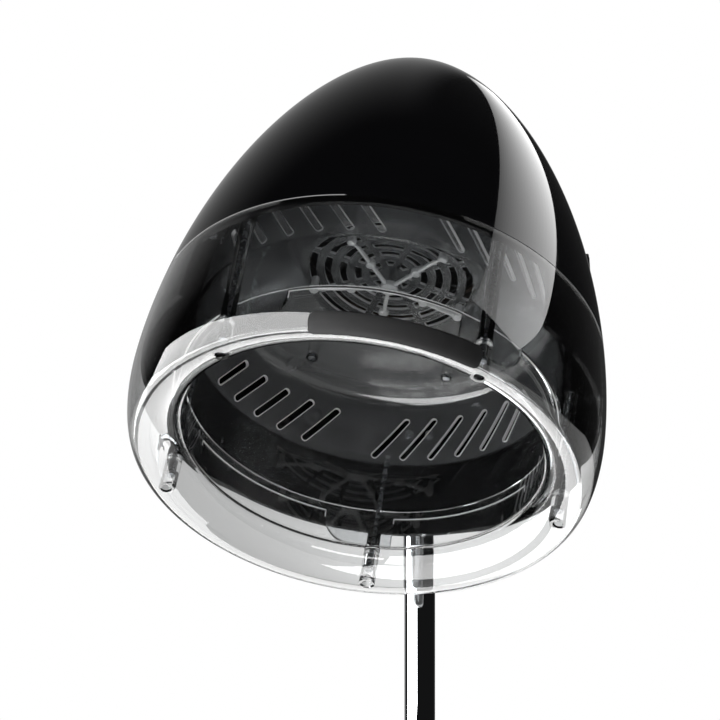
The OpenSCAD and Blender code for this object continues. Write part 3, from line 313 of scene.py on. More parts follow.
# %% Opaque plastics, ceramic and paint
black_abs = finish("gloss black ABS, moulded and polished", ("#060607", "#0a0a0c"), (0.02, 0.05),
                   60, bump_mm=14, relief_mm=0.006, IOR=1.54)
soft_grip = finish("dark grey soft-touch elastomer, moulded", ("#060607", "#0b0c0d"), (0.5, 0.65), 12,
                   bump_mm=0.8, relief_mm=0.05, IOR=1.33)
black_matt = finish("black polypropylene, fine spark-eroded grain", ("#101113", "#1a1b1d"), (0.42, 0.6),
                    15, bump_mm=0.9, relief_mm=0.04, IOR=1.49)
cream_nylon = finish("natural nylon, moulded", ("#d3ccb6", "#e0dac6"), (0.38, 0.52), 10,
                     bump_mm=1, relief_mm=0.02, IOR=1.53)
tyre = finish("grey polyurethane tyre, moulded", ("#3b3d41", "#4a4c50"), (0.5, 0.68), 12,
              bump_mm=0.9, relief_mm=0.05, IOR=1.5)
ceramic = finish("steatite ceramic, darkened by heat", ("#3b3631", "#4c463f"), (0.55, 0.7), 8,
                 bump_mm=0.7, relief_mm=0.03, IOR=1.6)
black_enamel = finish("black stoved enamel on steel", ("#0c0c0e", "#131417"), (0.12, 0.22), 30,
                      bump_mm=3, relief_mm=0.02, IOR=1.52, Coat_Weight=0.6, Coat_Roughness=0.08)
motor_paint = finish("grey motor enamel", ("#34373b", "#43474b"), (0.3, 0.45), 14,
                     bump_mm=2, relief_mm=0.03, IOR=1.5)
print("opaque finishes made")

# %% [markdown]
# ## The metals
# The tubes are bright chrome on steel. Screws and small plates are zinc plated, which is duller
# and a little blue. The heater's alloy has turned brown from its heat. A metal needs no index of
# refraction here, because its own colour is what it mirrors. The tubes' pattern is drawn out
# along them, as polishing leaves it.

# %% Metals
chrome = finish("bright chrome plate on steel tube", ("#dfe2e5", "#eceef0"), (0.02, 0.05), 40,
                bump_mm=25, relief_mm=0.004, stretch=(1, 1, 0.1), Metallic=1.0)
zinc = finish("bright zinc plate on steel", ("#a9adb3", "#c3c6ca"), (0.2, 0.34), 6,
              bump_mm=1.2, relief_mm=0.015, Metallic=1.0)
alloy = finish("heater alloy, oxidised", ("#2b2522", "#453a33"), (0.45, 0.65), 5,
               bump_mm=1, relief_mm=0.03, Metallic=1.0)
SLOT = {"gloss_black_abs": black_abs, "clear_polycarbonate": clear_pc, "smoke_polycarbonate": smoke_pc,
        "dark_soft_trim": soft_grip, "chrome_steel": chrome, "zinc_steel": zinc,
        "black_moulded_plastic": black_matt, "ceramic_former": ceramic, "heater_alloy": alloy,
        "motor_enamel": motor_paint, "black_enamel": black_enamel, "red_lens": red_lens,
        "cream_nylon": cream_nylon, "grey_nylon_tyre": tyre}
print(len(SLOT), "finishes have a slot")

# %% [markdown]
# ## The outer shell
# The side of the hood swells out, then leans in ever faster to a rounded top, as an egg does. It
# could be sculpted from a sphere, but a formula with two powers follows the egg exactly. The
# outline is spun once. The faces of the front window are then deleted, and solidify gives what is
# left its wall, so the window gets an edge too.

# %% The egg's outline
EGG_R, EQUATOR, TOP = 200, 28, 414
LEAN_POWER, ROUND_POWER = 1.74, 1.71


def egg_radius(h):
    """The egg's radius at a height above the mouth."""
    share = max(0, (h - EQUATOR) / (TOP - EQUATOR))
    return EGG_R * max(0, 1 - share ** LEAN_POWER) ** (1 / ROUND_POWER)


def egg_side(low, rings):
    """Points from a height to the top, closer together where the egg bends more."""
    first = math.asin((low - EQUATOR) / (TOP - EQUATOR))
    heights = [EQUATOR + (TOP - EQUATOR) * math.sin(turn) for turn in spaced(first, math.pi / 2, rings)]
    return [(egg_radius(h), h) for h in heights[:-1]] + [(0, TOP)]


print("the egg is", round(egg_radius(TOP / 2)), "mm in radius halfway up")

# %% Outer shell
SHELL_WALL, SHELL_LOW, SHELL_RINGS, SHELL_STEPS = 3.5, 40, 72, 360
STEP_H, STEP_INSET, STEP_UNDER, STEP_ROUND = 107.3, 3.6, 0.4, 0.7
WINDOW_HALF, WINDOW_TOP, WINDOW_RINGS = 49, 101, 10
BACK, FRONT = 90, 270
MIDDLE_H = 150
skirt_heights = spaced(SHELL_LOW, WINDOW_TOP, WINDOW_RINGS) + [STEP_H - STEP_UNDER]
side = [(egg_radius(h) - STEP_INSET, h) for h in skirt_heights]
side += [(egg_radius(STEP_H) - STEP_ROUND, STEP_H)] + egg_side(STEP_H + STEP_ROUND, SHELL_RINGS)
bm = bmesh.new()
turned(bm, side, SHELL_STEPS, closed=False)
window = []
for face in bm.faces:
    middle = face.calc_center_median()
    turn = math.degrees(math.atan2(middle.y, middle.x)) % 360
    if middle.z < WINDOW_TOP * MM and abs(turn - FRONT) < WINDOW_HALF:
        window.append(face)
bmesh.ops.delete(bm, geom=window, context="FACES")
bmesh.ops.recalc_face_normals(bm, faces=bm.faces)
inside_point = Vector((0, 0, MIDDLE_H * MM))
if sum(face.normal.dot(face.calc_center_median() - inside_point) for face in bm.faces) < 0:
    bmesh.ops.reverse_faces(bm, faces=bm.faces)
bmesh.ops.solidify(bm, geom=bm.faces[:], thickness=SHELL_WALL * MM)

# %% Bosses in the shell
COLUMN_COUNT, COLUMN_CIRCLE = 5, 175
COLUMNS = [BACK + 360 / COLUMN_COUNT * i for i in range(COLUMN_COUNT)]
BOSS_R, SHELL_BOSS_BORE, SHELL_BOSS_LOW, SHELL_BOSS_HIGH = 7, 2.2, 110.3, 150
boss = tube_outline(SHELL_BOSS_LOW, SHELL_BOSS_HIGH, SHELL_BOSS_BORE, BOSS_R)
turned_at(bm, COLUMNS, COLUMN_CIRCLE, boss, SMALL_STEPS)
piece(made_object("outer_shell", bm, [black_abs]), "hood", "gloss_black_abs", "shell")

# %% [markdown]
# ## The clear ring
# The ring's skin follows the egg over the shell's skirt, rolls under the rim and comes up again
# as a collar inside the mouth, with a small bead where the roll meets the collar. One surface with
# a solidify modifier would be quicker. Here one closed outline of the wall is spun, so light
# enters and leaves the plastic through real surfaces and bends as it should.

# %% Ring outline
RING_WALL, RING_TOP, RING_STEPS = 3, 107, 288
SKIN_STEPS, ROLL_STEPS, COLLAR_STEPS, BEAD_STEPS = 40, 28, 8, 16
ROLL_R, RIM_LOW, COLLAR_R, COLLAR_H, COLLAR_FLARE = 185, -27, 154, 40, 2
BEAD_R, BEAD_LAP = 1.6, 8
skin = [(egg_radius(h), h) for h in spaced(RING_TOP, EQUATOR, SKIN_STEPS)]
roll = arc((ROLL_R, EQUATOR), EGG_R - ROLL_R, EQUATOR - RIM_LOW, 0, -90, ROLL_STEPS)[1:]
roll += arc((ROLL_R, 0), ROLL_R - COLLAR_R, -RIM_LOW, -90, -180, ROLL_STEPS)[1:]
collar = [(COLLAR_R + COLLAR_FLARE * share, COLLAR_H * share) for share in spaced(0, 1, COLLAR_STEPS)[1:]]
path = skin + roll + collar
in_bead = [math.hypot(x - COLLAR_R, z) < BEAD_R for x, z in path]
first = in_bead.index(True)
last = len(in_bead) - 1 - in_bead[::-1].index(True)
bead = arc((COLLAR_R, 0), BEAD_R, BEAD_R, -90 + BEAD_LAP, -270 - BEAD_LAP, BEAD_STEPS)
ring_outline = path[:first] + bead + path[last + 1:] + beside(path, RING_WALL)[::-1]
bm = bmesh.new()
turned(bm, ring_outline, RING_STEPS)
ring_body = made_object("clear_ring", bm, [clear_pc])
print("the ring's outline has", len(ring_outline), "points")

# %% [markdown]
# ## Cutting and joining solids
# The bosses of the ring and the slots of the dome are easier to say as solids that are added or
# taken away than as faces. The Boolean modifier does that. The faces that a tool leaves behind
# keep the tool's finish, so the cut walls of a slot can be painted paler than the rest, a painted
# highlight. The result becomes the piece's own mesh, so the next cut starts from it and no
# modifier is left.

# %% Add and cut
def carve(made, tool, operation):
    """Applies one Boolean to a piece and removes the tool."""
    change = made.modifiers.new(operation, "BOOLEAN")
    change.operation, change.object, change.solver = operation, tool, "MANIFOLD"
    mesh = bpy.data.meshes.new_from_object(made.evaluated_get(bpy.context.evaluated_depsgraph_get()))
    made.modifiers.clear()
    old, made.data = made.data, mesh
    name = old.name
    bpy.data.meshes.remove(old)
    mesh.name = name
    bpy.data.objects.remove(tool)
    mesh.shade_smooth()
    mesh.set_sharp_from_angle(angle=math.radians(SHARP))


def carve_turned(made, turns, radius, outline, steps, operation, surface):
    """Adds or takes away one turned shape at each of the turns on a circle."""
    tool = bmesh.new()
    turned_at(tool, turns, radius, outline, steps)
    carve(made, made_object("tool", tool, [surface]), operation)


# %% Bosses and recesses of the ring
RING_BOSS_LOW, RING_BOSS_TOP, RING_BOSS_ROUND = -25.5, 6, 0.8
RECESS_R, RECESS_TOP, SCREW_HOLE_R = 4.6, -8, 2.15
CUT_LOW, CUT_HIGH = -40, 20
boss = [(0, RING_BOSS_LOW), (BOSS_R, RING_BOSS_LOW)]
boss += arc((BOSS_R - RING_BOSS_ROUND, RING_BOSS_TOP - RING_BOSS_ROUND), RING_BOSS_ROUND,
            RING_BOSS_ROUND, 0, 90, 4)
boss.append((0, RING_BOSS_TOP))
carve_turned(ring_body, COLUMNS, COLUMN_CIRCLE, boss, BOSS_STEPS, "UNION", clear_pc)
recess = stepped_outline(CUT_LOW, RECESS_TOP, CUT_HIGH, RECESS_R, SCREW_HOLE_R)
carve_turned(ring_body, COLUMNS, COLUMN_CIRCLE, recess, SMALL_STEPS, "DIFFERENCE", clear_pc)
piece(ring_body, "hood", "clear_polycarbonate", "visor")

# %% [markdown]
# ## The slotted dome
# The dome is a bowl: a clear low band, a slight crease, a slotted wall, a wide sloping crown and a
# flat middle with rings of slots. It is spun like the ring. The faces above the crease get the
# satin finish, and the third finish in its list is for the slots' walls, which are cut later; it
# is a pale edge finish, a painted glint. Five tabs hang from its edge down to the ring's bosses.

# %% Dome body
DOME_R, DOME_WALL, DOME_LOW, DOME_TURN, DOME_STEPS = 165, 2.5, 35, 11, 288
BAND_TOP = (162.5, 92)
CREASE, WALL_FOOT, CROWN_EDGE = (162.7, 88), (160.2, 97), (154.5, 158)
PLATE_EDGE, MIDDLE_TOP = (79, 182), (0, 183.5)
UPPER_RADII = [0, 60, 14, 7, 0]
SATIN_FROM = 92.5
band = list(zip(spaced(DOME_R, BAND_TOP[0], 4), spaced(DOME_LOW, BAND_TOP[1], 4)))[:-1]
upper = rounded([CREASE, WALL_FOOT, CROWN_EDGE, PLATE_EDGE, MIDDLE_TOP], UPPER_RADII, steps=14)
bm = bmesh.new()
turned(bm, band + upper + beside(band + upper, -DOME_WALL)[::-1], DOME_STEPS)
for face in bm.faces:
    face.material_index = 1 if face.calc_center_median().z > SATIN_FROM * MM else 0
dome_body = made_object("slotted_dome", bm, [smoke_pc, hazy_pc, painted_glint_pc])
print("plain dome:", len(dome_body.data.polygons), "faces")

# %% [markdown]
# ## Flat shapes bent round the hood
# Tabs, slots and the grip follow round walls. Drawn straight on the wall they would be hard to
# size, so each is drawn flat, in its true measures, pulled out into a solid, and then bent: a
# function says where each flat point goes.

# %% Helpers for bent shapes
def thicken(bm, faces, wall):
    """Pulls flat faces out along Z into a solid."""
    raised = bmesh.ops.extrude_face_region(bm, geom=faces)
    tops = [v for v in raised["geom"] if isinstance(v, bmesh.types.BMVert)]
    bmesh.ops.translate(bm, verts=tops, vec=(0, 0, wall * MM))


def net(bm, rows):
    """Flat faces between rows of points."""
    grid = [[bm.verts.new((x * MM, y * MM, 0)) for x, y in row] for row in rows]
    return [bm.faces.new((a[j], b[j], b[j + 1], a[j + 1]))
            for a, b in zip(grid, grid[1:]) for j in range(len(a) - 1)]


def bend(bm, place):
    """Moves each flat point, given as millimetres along, up and out, to its place."""
    for vert in bm.verts:
        vert.co = [value * MM for value in place(*(flat / MM for flat in vert.co))]
    bmesh.ops.recalc_face_normals(bm, faces=bm.faces)


def spot(radius, turn, height):
    """A point in the hood. The turn is in radians."""
    return radius * math.cos(turn), radius * math.sin(turn), height


# %% Tabs and feet
TAB_LOW, TAB_START, TAB_END, TAB_ROUND, TAB_STEPS = 6.3, -17, 45.6, 25, 12
FOOT_H = 3
TAB_BEND = (TAB_END - TAB_ROUND, TAB_LOW + TAB_ROUND)
tab_edge = [(x, TAB_LOW) for x in spaced(TAB_START, TAB_BEND[0], TAB_STEPS)[:-1]]
tab_edge += arc(TAB_BEND, TAB_ROUND, TAB_ROUND, -90, 0, TAB_STEPS)


def on_band(turn):
    """The way from flat to the dome's low band."""
    return lambda along, up, out: spot(DOME_R - DOME_WALL + out, math.radians(turn) + along / DOME_R, up)


for turn in COLUMNS:
    flat = bmesh.new()
    thicken(flat, net(flat, [[(x, low), (x, DOME_LOW + DOME_WALL)] for x, low in tab_edge]), DOME_WALL)
    bend(flat, on_band(turn))
    carve(dome_body, made_object("tool", flat, [smoke_pc]), "UNION")
for turn in COLUMNS:
    foot = bar_outline(TAB_LOW, TAB_LOW + FOOT_H, BOSS_R)
    carve_turned(dome_body, [turn], COLUMN_CIRCLE, foot, BOSS_STEPS, "UNION", smoke_pc)
print("dome with tabs:", len(dome_body.data.polygons), "faces")

# %% Slots in the wall
SLOT_LONG, SLOT_W, SLOT_LEAN, SLOT_MID_H = 50, 6, 34, 118.7
SLOTS_BESIDE, SLOT_FIRST, SLOTS_APART = 6, 11.9, 9.4
SLOT_CUT_IN, SLOT_CUT_LONG = -8, 14
WALL_MID_R, WALL_LEAN = 158.2, math.atan2(6, 64)
SLOT_TURNS = [middle + DOME_TURN + way * (SLOT_FIRST + SLOTS_APART * i)
              for middle in (BACK, FRONT) for way in (-1, 1) for i in range(SLOTS_BESIDE)]


def on_wall(turn):
    """The way from flat to the leaning wall."""
    c, s = math.cos(WALL_LEAN), math.sin(WALL_LEAN)
    return lambda along, up, out: spot(WALL_MID_R - up * s + out * c,
                                       math.radians(turn) + along / WALL_MID_R,
                                       SLOT_MID_H + up * c + out * s)


def slot_points(grow, ends=10, sides=8):
    """The rounded outline of a leaning slot."""
    r, half = SLOT_W / 2 + grow, (SLOT_LONG - SLOT_W) / 2
    points = arc((0, half), r, r, 0, 180, ends) + [(-r, y) for y in spaced(half, -half, sides)[1:-1]]
    points += arc((0, -half), r, r, 180, 360, ends) + [(r, y) for y in spaced(-half, half, sides)[1:-1]]
    c, s = math.cos(math.radians(SLOT_LEAN)), math.sin(math.radians(SLOT_LEAN))
    return [(x * c - y * s, x * s + y * c) for x, y in points]


# The slots' cut walls take the pale edge finish, a painted glint.
tool = bmesh.new()
for turn in SLOT_TURNS:
    flat = bmesh.new()
    outline = [flat.verts.new((x * MM, y * MM, SLOT_CUT_IN * MM)) for x, y in slot_points(0)]
    thicken(flat, [flat.faces.new(outline)], SLOT_CUT_LONG)
    bmesh.ops.triangulate(flat, faces=[face for face in flat.faces if len(face.verts) > 4])
    bend(flat, on_wall(turn))
    join(tool, flat)
carve(dome_body, made_object("tool", tool, [painted_glint_pc]), "DIFFERENCE")
print("dome with slots:", len(dome_body.data.polygons), "faces")

# %% [markdown]
# ## The grille and the screw pockets
# The middle of the crown lets the hot air through in five rings of slots, with eight webs between
# them. The rings are cut as one tool, after bars as wide as a web have been taken out of that
# tool. Four pockets in the crown hold small screws.

# %% Grille
GRILLE_R, GRILLE_W, GRILLE_APART, GRILLE_RINGS = 72, 6, 13.27, 5
GRILLE_CUT_LOW, GRILLE_CUT_HIGH, GRILLE_STEPS = 170, 192, 144
WEB_W, WEB_BARS, WEB_FIRST, WEB_LONG, WEB_TALL, WEB_MID_H = 6, 4, 22.5, 200, 60, 180
tool = bmesh.new()
for i in range(GRILLE_RINGS):
    outer = GRILLE_R - GRILLE_APART * i
    turned(tool, tube_outline(GRILLE_CUT_LOW, GRILLE_CUT_HIGH, outer - GRILLE_W, outer), GRILLE_STEPS)
# The grille's cut walls take the pale edge finish, a painted glint.
grille = made_object("grille", tool, [painted_glint_pc])
for i in range(WEB_BARS):
    bar = bmesh.new()
    bmesh.ops.create_cube(bar, size=1)
    size = Matrix.Diagonal((WEB_LONG * MM, WEB_W * MM, WEB_TALL * MM, 1))
    place = around(WEB_FIRST + 180 / WEB_BARS * i, 0, WEB_MID_H) @ size
    bmesh.ops.transform(bar, matrix=place, verts=bar.verts)
    carve(grille, made_object("tool", bar, [painted_glint_pc]), "DIFFERENCE")
carve(dome_body, grille, "DIFFERENCE")
print("dome with its grille:", len(dome_body.data.polygons), "faces")

# %% Screw pockets and holes
POCKETS, POCKET_CIRCLE, POCKET_TOP = [DOME_TURN + turn for turn in (57, 114, 237, 294)], 128, 168.17
POCKET_BOSS_R, POCKET_R, POCKET_FLOOR, POCKET_HOLE_R = 5.5, 4, 3, 1.75
POCKET_CUT_LOW, POCKET_CUT_HIGH = 140, 190
boss = bar_outline(POCKET_TOP - POCKET_BOSS_R, POCKET_TOP, POCKET_BOSS_R)
carve_turned(dome_body, POCKETS, POCKET_CIRCLE, boss, BOSS_STEPS, "UNION", smoke_pc)
pocket = stepped_outline(POCKET_CUT_LOW, POCKET_TOP - POCKET_FLOOR, POCKET_CUT_HIGH,
                         POCKET_R, POCKET_HOLE_R)
tool = bmesh.new()
turned_at(tool, POCKETS, POCKET_CIRCLE, pocket, SMALL_STEPS)
turned_at(tool, COLUMNS, COLUMN_CIRCLE, bar_outline(0, CUT_HIGH, SCREW_HOLE_R), SLIM_STEPS)
carve(dome_body, made_object("tool", tool, [smoke_pc]), "DIFFERENCE")
piece(dome_body, "hood", "smoke_polycarbonate", "inner_dome")

# %% [markdown]
# ## Lips with a painted glint
# Each slot has a small rounded lip on the inside of the wall, and so have the dome's lower edge
# and its tabs. Their pale finish paints them as thin bright lines, a painted glint. A bevel on the
# dome itself would need clean corners, which a Boolean doesn't leave, so a lip is a small circle
# swept along the outline.

# %% Lip helper
def lip(bm, points, r, closed=True, sides=6):
    """A thin round bead along flat points, before it is bent."""
    count, rings = len(points), []
    for i, point in enumerate(points):
        ahead = points[(i + 1) % count if closed else min(i + 1, count - 1)]
        behind = points[i - 1 if closed else max(i - 1, 0)]
        across = Vector((ahead[1] - behind[1], behind[0] - ahead[0], 0)).normalized()
        rings.append([bm.verts.new((Vector((*point, 0)) + across * x + Vector((0, 0, z))) * MM)
                      for x, z in arc((0, 0), r, r, 0, 360, sides)[:-1]])
    for i in range(count if closed else count - 1):
        edges = []
        for ring_verts in (rings[i], rings[(i + 1) % count]):
            for pair in zip(ring_verts, ring_verts[1:] + ring_verts[:1]):
                edges.append(bm.edges.get(pair) or bm.edges.new(pair))
        bmesh.ops.bridge_loops(bm, edges=edges)


# %% Lips of the slots
LIP_R, LIP_CLEAR, LIP_SHARP = 0.45, 0.1, 80
bm = bmesh.new()
for turn in SLOT_TURNS:
    flat = bmesh.new()
    lip(flat, slot_points(LIP_CLEAR, ends=8, sides=6), LIP_R)
    bmesh.ops.translate(flat, verts=flat.verts, vec=(0, 0, -(DOME_WALL + LIP_CLEAR) * MM))
    bend(flat, on_wall(turn))
    join(bm, flat)
# The slot lips take the pale edge finish, a painted glint.
made = made_object("slot_lips", bm, [painted_glint_pc], sharp=LIP_SHARP)
piece(made, "hood", "smoke_polycarbonate")

# %% Lip of the lower edge and its tabs
EDGE_LIP_R, TAB_TURN, GLINT_PAINT_DOWN, GAP_STEPS = 0.6, 5, 6, 18
dome_round = math.tau * DOME_R
tab_gap = dome_round / COLUMN_COUNT - TAB_END + TAB_START
edge_path = []
for turn in COLUMNS:
    start = DOME_R * math.radians(turn)
    edge_path += [(start + TAB_START, DOME_LOW), (start + TAB_START, DOME_LOW - TAB_TURN)]
    edge_path += [(start + x, y) for x, y in tab_edge]
    edge_path += [(start + TAB_END + x, DOME_LOW) for x in spaced(0, tab_gap, GAP_STEPS)[:-1]]
edge_path.append((edge_path[0][0] + dome_round, DOME_LOW))
bm = bmesh.new()
lip(bm, edge_path, EDGE_LIP_R, closed=False)
# Lip faces more than a few millimetres below the dome's edge stay clear; those above take the pale edge
# finish, a painted glint.
for face in bm.faces:
    face.material_index = 1 if face.calc_center_median().y < (DOME_LOW - GLINT_PAINT_DOWN) * MM else 0
bend(bm, on_band(0))
made = made_object("dome_edge_lip", bm, [painted_glint_pc, clear_pc], sharp=LIP_SHARP)
piece(made, "hood", "smoke_polycarbonate")

# %% [markdown]
# ## The guard under the crown
# Five bright rods run out from a hub, each with a knob halfway and one at its end, where a post
# holds it to the crown. They keep a towel off the grille. Hub, knobs, rods and posts are turned
# pieces that sit inside one another, as one moulding.

# %% Crown guard
GUARD_H, GUARD_LONG, GUARD_RODS, GUARD_FIRST = 167.5, 67.5, 5, 244
HUB_R, HUB_HALF, HUB_ROUND = 8, 3, 1.6
ROD_R, ROD_START, KNOB_R, KNOB_HALF, KNOB_ROUND = 2, 5, 4.5, 3, 2.2
POST_LOW, POST_TOP, POST_R, POST_TOP_R = 1.5, 11.7, 4, 3.4
LAID = Matrix.Rotation(math.radians(90), 4, "Y")
hub = rounded(bar_outline(-HUB_HALF, HUB_HALF, HUB_R), [0, HUB_ROUND, HUB_ROUND, 0])
knob = rounded(bar_outline(-KNOB_HALF, KNOB_HALF, KNOB_R), [0, KNOB_ROUND, KNOB_ROUND, 0])
post = [(0, POST_LOW), (POST_R, POST_LOW), (POST_TOP_R, POST_TOP), (0, POST_TOP)]
bm = bmesh.new()
turned(bm, hub, WIDE_STEPS, around(0, 0, GUARD_H))
for i in range(GUARD_RODS):
    turn = GUARD_FIRST + 360 / GUARD_RODS * i
    turned(bm, bar_outline(ROD_START, GUARD_LONG, ROD_R), SLIM_STEPS, around(turn, 0, GUARD_H) @ LAID)
    for at in (GUARD_LONG / 2, GUARD_LONG):
        turned(bm, knob, SMALL_STEPS, around(turn, at, GUARD_H))
    turned(bm, post, SLIM_STEPS, around(turn, GUARD_LONG, GUARD_H))
# The rods take the paler rod finish, a painted highlight.
made = made_object("crown_guard_rods", bm, [rod_highlight_paint_pc])
piece(made, "hood", "clear_polycarbonate", "crown_guard")

# %% [markdown]
# ## Columns and their long screws
# Clear tubes space the ring from the shell. A long screw runs up each from a recess in the ring's
# boss, and its thread shows through the tube. A true helix would be heavy and hardly seen at this
# size, so the thread is a turned outline that steps in and out, one ridge for each pitch.

# %% Columns
COLUMN_LOW, COLUMN_TOP, COLUMN_BORE_R, COLUMN_R = 9.6, 110, 3, 6
COLUMN_RADII = [0.3, 0.5, 0.5, 0.3]
column = tube_outline(COLUMN_LOW, COLUMN_TOP, COLUMN_BORE_R, COLUMN_R)
bm = bmesh.new()
turned_at(bm, COLUMNS, COLUMN_CIRCLE, rounded(column, COLUMN_RADII, steps=3), WIDE_STEPS)
made = made_object("clear_columns", bm, [clear_pc])
piece(made, "hood", "clear_polycarbonate", "visor_columns")

# %% Long screws with their threads
HEAD_LOW, HEAD_TOP, HEAD_R, HEAD_ROUND, HEAD_EDGE = -12, -8.2, 4, 1.2, 0.2
SHANK_R, SHANK_LOW, SHANK_TOP = 2, -9, 90
THREAD_LOW, THREAD_TOP, PITCH, ROOT_SHARE = 89, 124, 1.6, 0.82
thread = [(0, THREAD_LOW)]
for i in range(int((THREAD_TOP - THREAD_LOW) / PITCH)):
    h = THREAD_LOW + i * PITCH
    thread += [(SHANK_R * ROOT_SHARE, h), (SHANK_R, h + PITCH / 2)]
thread += [(SHANK_R * ROOT_SHARE, THREAD_TOP), (0, THREAD_TOP)]
head = rounded(bar_outline(HEAD_LOW, HEAD_TOP, HEAD_R), [0, HEAD_ROUND, HEAD_EDGE, 0], steps=4)
bm = bmesh.new()
turned_at(bm, COLUMNS, COLUMN_CIRCLE, head, SMALL_STEPS)
turned_at(bm, COLUMNS, COLUMN_CIRCLE, bar_outline(SHANK_LOW, SHANK_TOP, SHANK_R), SLIM_STEPS)
turned_at(bm, COLUMNS, COLUMN_CIRCLE, thread, TINY_STEPS)
piece(made_object("long_screws", bm, [zinc]), "hood", "zinc_steel", "visor_screws")

# %% [markdown]
# ## The grip under the front
# A dark soft strip lies under the front of the ring, where a hand pulls the hood down. It is drawn
# flat with rounded corners, thickened, bent along the roll, and its edges are softened last, when
# they have their true angles.

# %% Bevel helper
def soften(bm, width, sharp, segments):
    """Bevels every edge that is sharper than an angle."""
    edges = [e for e in bm.edges if len(e.link_faces) == 2 and e.calc_face_angle(0) > math.radians(sharp)]
    bmesh.ops.bevel(bm, geom=edges, offset=width * MM, offset_type="OFFSET", segments=segments,
                    profile=0.5, affect="EDGES", clamp_overlap=True, material=-1)


# %% Front grip
GRIP_LONG, GRIP_WIDE, GRIP_WALL, GRIP_CORNER, GRIP_GAP = 139, 17.5, 2.4, 6, 0.3
GRIP_TURN, GRIP_SWEEP, GRIP_INNER, GRIP_OUTER = 12, 42, -88, -48
GRIP_EDGE, GRIP_EDGE_SHARP, GRIP_COLUMNS, GRIP_ROWS = 0.8, 60, 40, 10


def on_roll(along, up, out):
    """The way from flat to the underside of the ring's roll."""
    turn = math.radians(FRONT + GRIP_TURN + GRIP_SWEEP * (along / GRIP_LONG - 0.5))
    side = math.radians(GRIP_INNER + (GRIP_OUTER - GRIP_INNER) * up / GRIP_WIDE)
    off = GRIP_GAP + out
    return spot(ROLL_R + (EGG_R - ROLL_R + off) * math.cos(side), turn,
                EQUATOR + (EQUATOR - RIM_LOW + off) * math.sin(side))


corner = [GRIP_CORNER * (1 - math.cos(turn)) for turn in spaced(0, math.radians(80), 8)]
places = corner + spaced(GRIP_CORNER, GRIP_LONG - GRIP_CORNER, GRIP_COLUMNS)
places += [GRIP_LONG - x for x in reversed(corner)]
rows = []
for x in places:
    short = GRIP_CORNER - min(x, GRIP_LONG - x, GRIP_CORNER)
    low = GRIP_CORNER - math.sqrt(GRIP_CORNER ** 2 - short ** 2)
    rows.append([(x, y) for y in spaced(low, GRIP_WIDE - low, GRIP_ROWS)])
bm = bmesh.new()
thicken(bm, net(bm, rows), GRIP_WALL)
bend(bm, on_roll)
soften(bm, GRIP_EDGE, GRIP_EDGE_SHARP, 3)
piece(made_object("front_grip_strip", bm, [soft_grip]), "hood", "dark_soft_trim", "front_grip")

# %% [markdown]
# ## Smooth copies of the straight pieces
# The other solids already have the right shape. Modelling them again would only copy it, so their
# meshes are copied: loose triangles are merged, flat faces are joined, and a small bevel gives each
# moulded or machined edge its highlight. The number after each node is the bevel's width in
# millimetres. Pieces that are hidden, thin-walled or round already have none.

# %% Copies with finished edges
BODY = {node: made["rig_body"] for node, made in frame["nodes"].items()}
COPY_SHARP, FLAT_ANGLE, CASTOR_COUNT = 30, 0.6, 5


def smooth_copy(node, slot, edge):
    """Copies a solid's mesh, joins its flat faces and softens its edges."""
    bm = bmesh.new()
    bm.from_mesh(frame["nodes"][node].data)
    bmesh.ops.remove_doubles(bm, verts=bm.verts, dist=2 * TOUCH)
    bmesh.ops.dissolve_limit(bm, angle_limit=math.radians(FLAT_ANGLE), verts=bm.verts, edges=bm.edges,
                             use_dissolve_boundaries=False)
    if edge:
        soften(bm, edge, COPY_SHARP, 2)
    made = made_object(node + "_finished", bm, [SLOT[slot]], AS_MADE, COPY_SHARP)
    piece(made, BODY[node], slot, node)


COPIES = {
    "gloss_black_abs": {"control_housing": 0},
    "black_moulded_plastic": {"plenum": 0, "timer_dial": 0.4, "heat_knob": 0.4, "rocker_switch": 0.4,
                              "tilt_knob": 1, "height_knob": 1, "mast_bush": 0.3, "mast_foot": 0,
                              "cable_gland": 0.4, "switch_unit": 0, "fan_wheel": 0},
    "black_enamel": {"tilt_bracket": 0.6, "swivel_head": 0.8, "height_collar": 0.8, "star_base": 1.2},
    "chrome_steel": {"inner_tube": 0.3, "outer_tube": 0.3, "hub_cover": 0.3},
    "zinc_steel": {"dome_screws": 0.2, "plenum_screws": 0, "bracket_bolts": 0.3, "bracket_nuts": 0.2,
                   "hinge_pin": 0.4, "swivel_screw": 0.2, "motor_shaft": 0, "motor_bolts": 0,
                   "motor_mount": 0, "thermal_cutout": 0.3},
    "cream_nylon": {"friction_washers": 0, "timer_unit": 0.4, "thermostat_unit": 0.4},
    "motor_enamel": {"motor": 0},
    "ceramic_former": {"heater_former": 0.3},
    "heater_alloy": {"heater_element": 0},
    "red_lens": {"mains_lamp": 0.5},
}
CASTOR_COPIES = {"castor_body": ("black_moulded_plastic", 0.5), "castor_axle": ("zinc_steel", 0.3),
                 "castor_wheels": ("grey_nylon_tyre", 0)}
for slot, nodes in COPIES.items():
    for node, edge in nodes.items():
        smooth_copy(node, slot, edge)
for k in range(1, CASTOR_COUNT + 1):
    for part, (slot, edge) in CASTOR_COPIES.items():
        smooth_copy(f"{part}_{k}", slot, edge)
seen = [node for node, made in frame["nodes"].items() if not made.hide_render]
print("nodes that show as they are:", seen)

# %% [markdown]
# ## Floor and camera
# The floor is plain, pale and quite matt, so that no lamp shows in it. The camera stands level
# with the hood, a little to the right of its front, and a long lens keeps the egg's shape true.

# %% Floor
FLOOR_HALF = 6
bm = bmesh.new()
bmesh.ops.create_grid(bm, x_segments=8, y_segments=8, size=FLOOR_HALF)
floor_paint = finish("pale matt floor paint", ("#ebebea", "#f1f1f0"), (0.8, 0.9), 400,
                     bump_mm=30, relief_mm=0.1, Specular_IOR_Level=0.0)
floor = made_object("floor", bm, [floor_paint], AS_MADE)

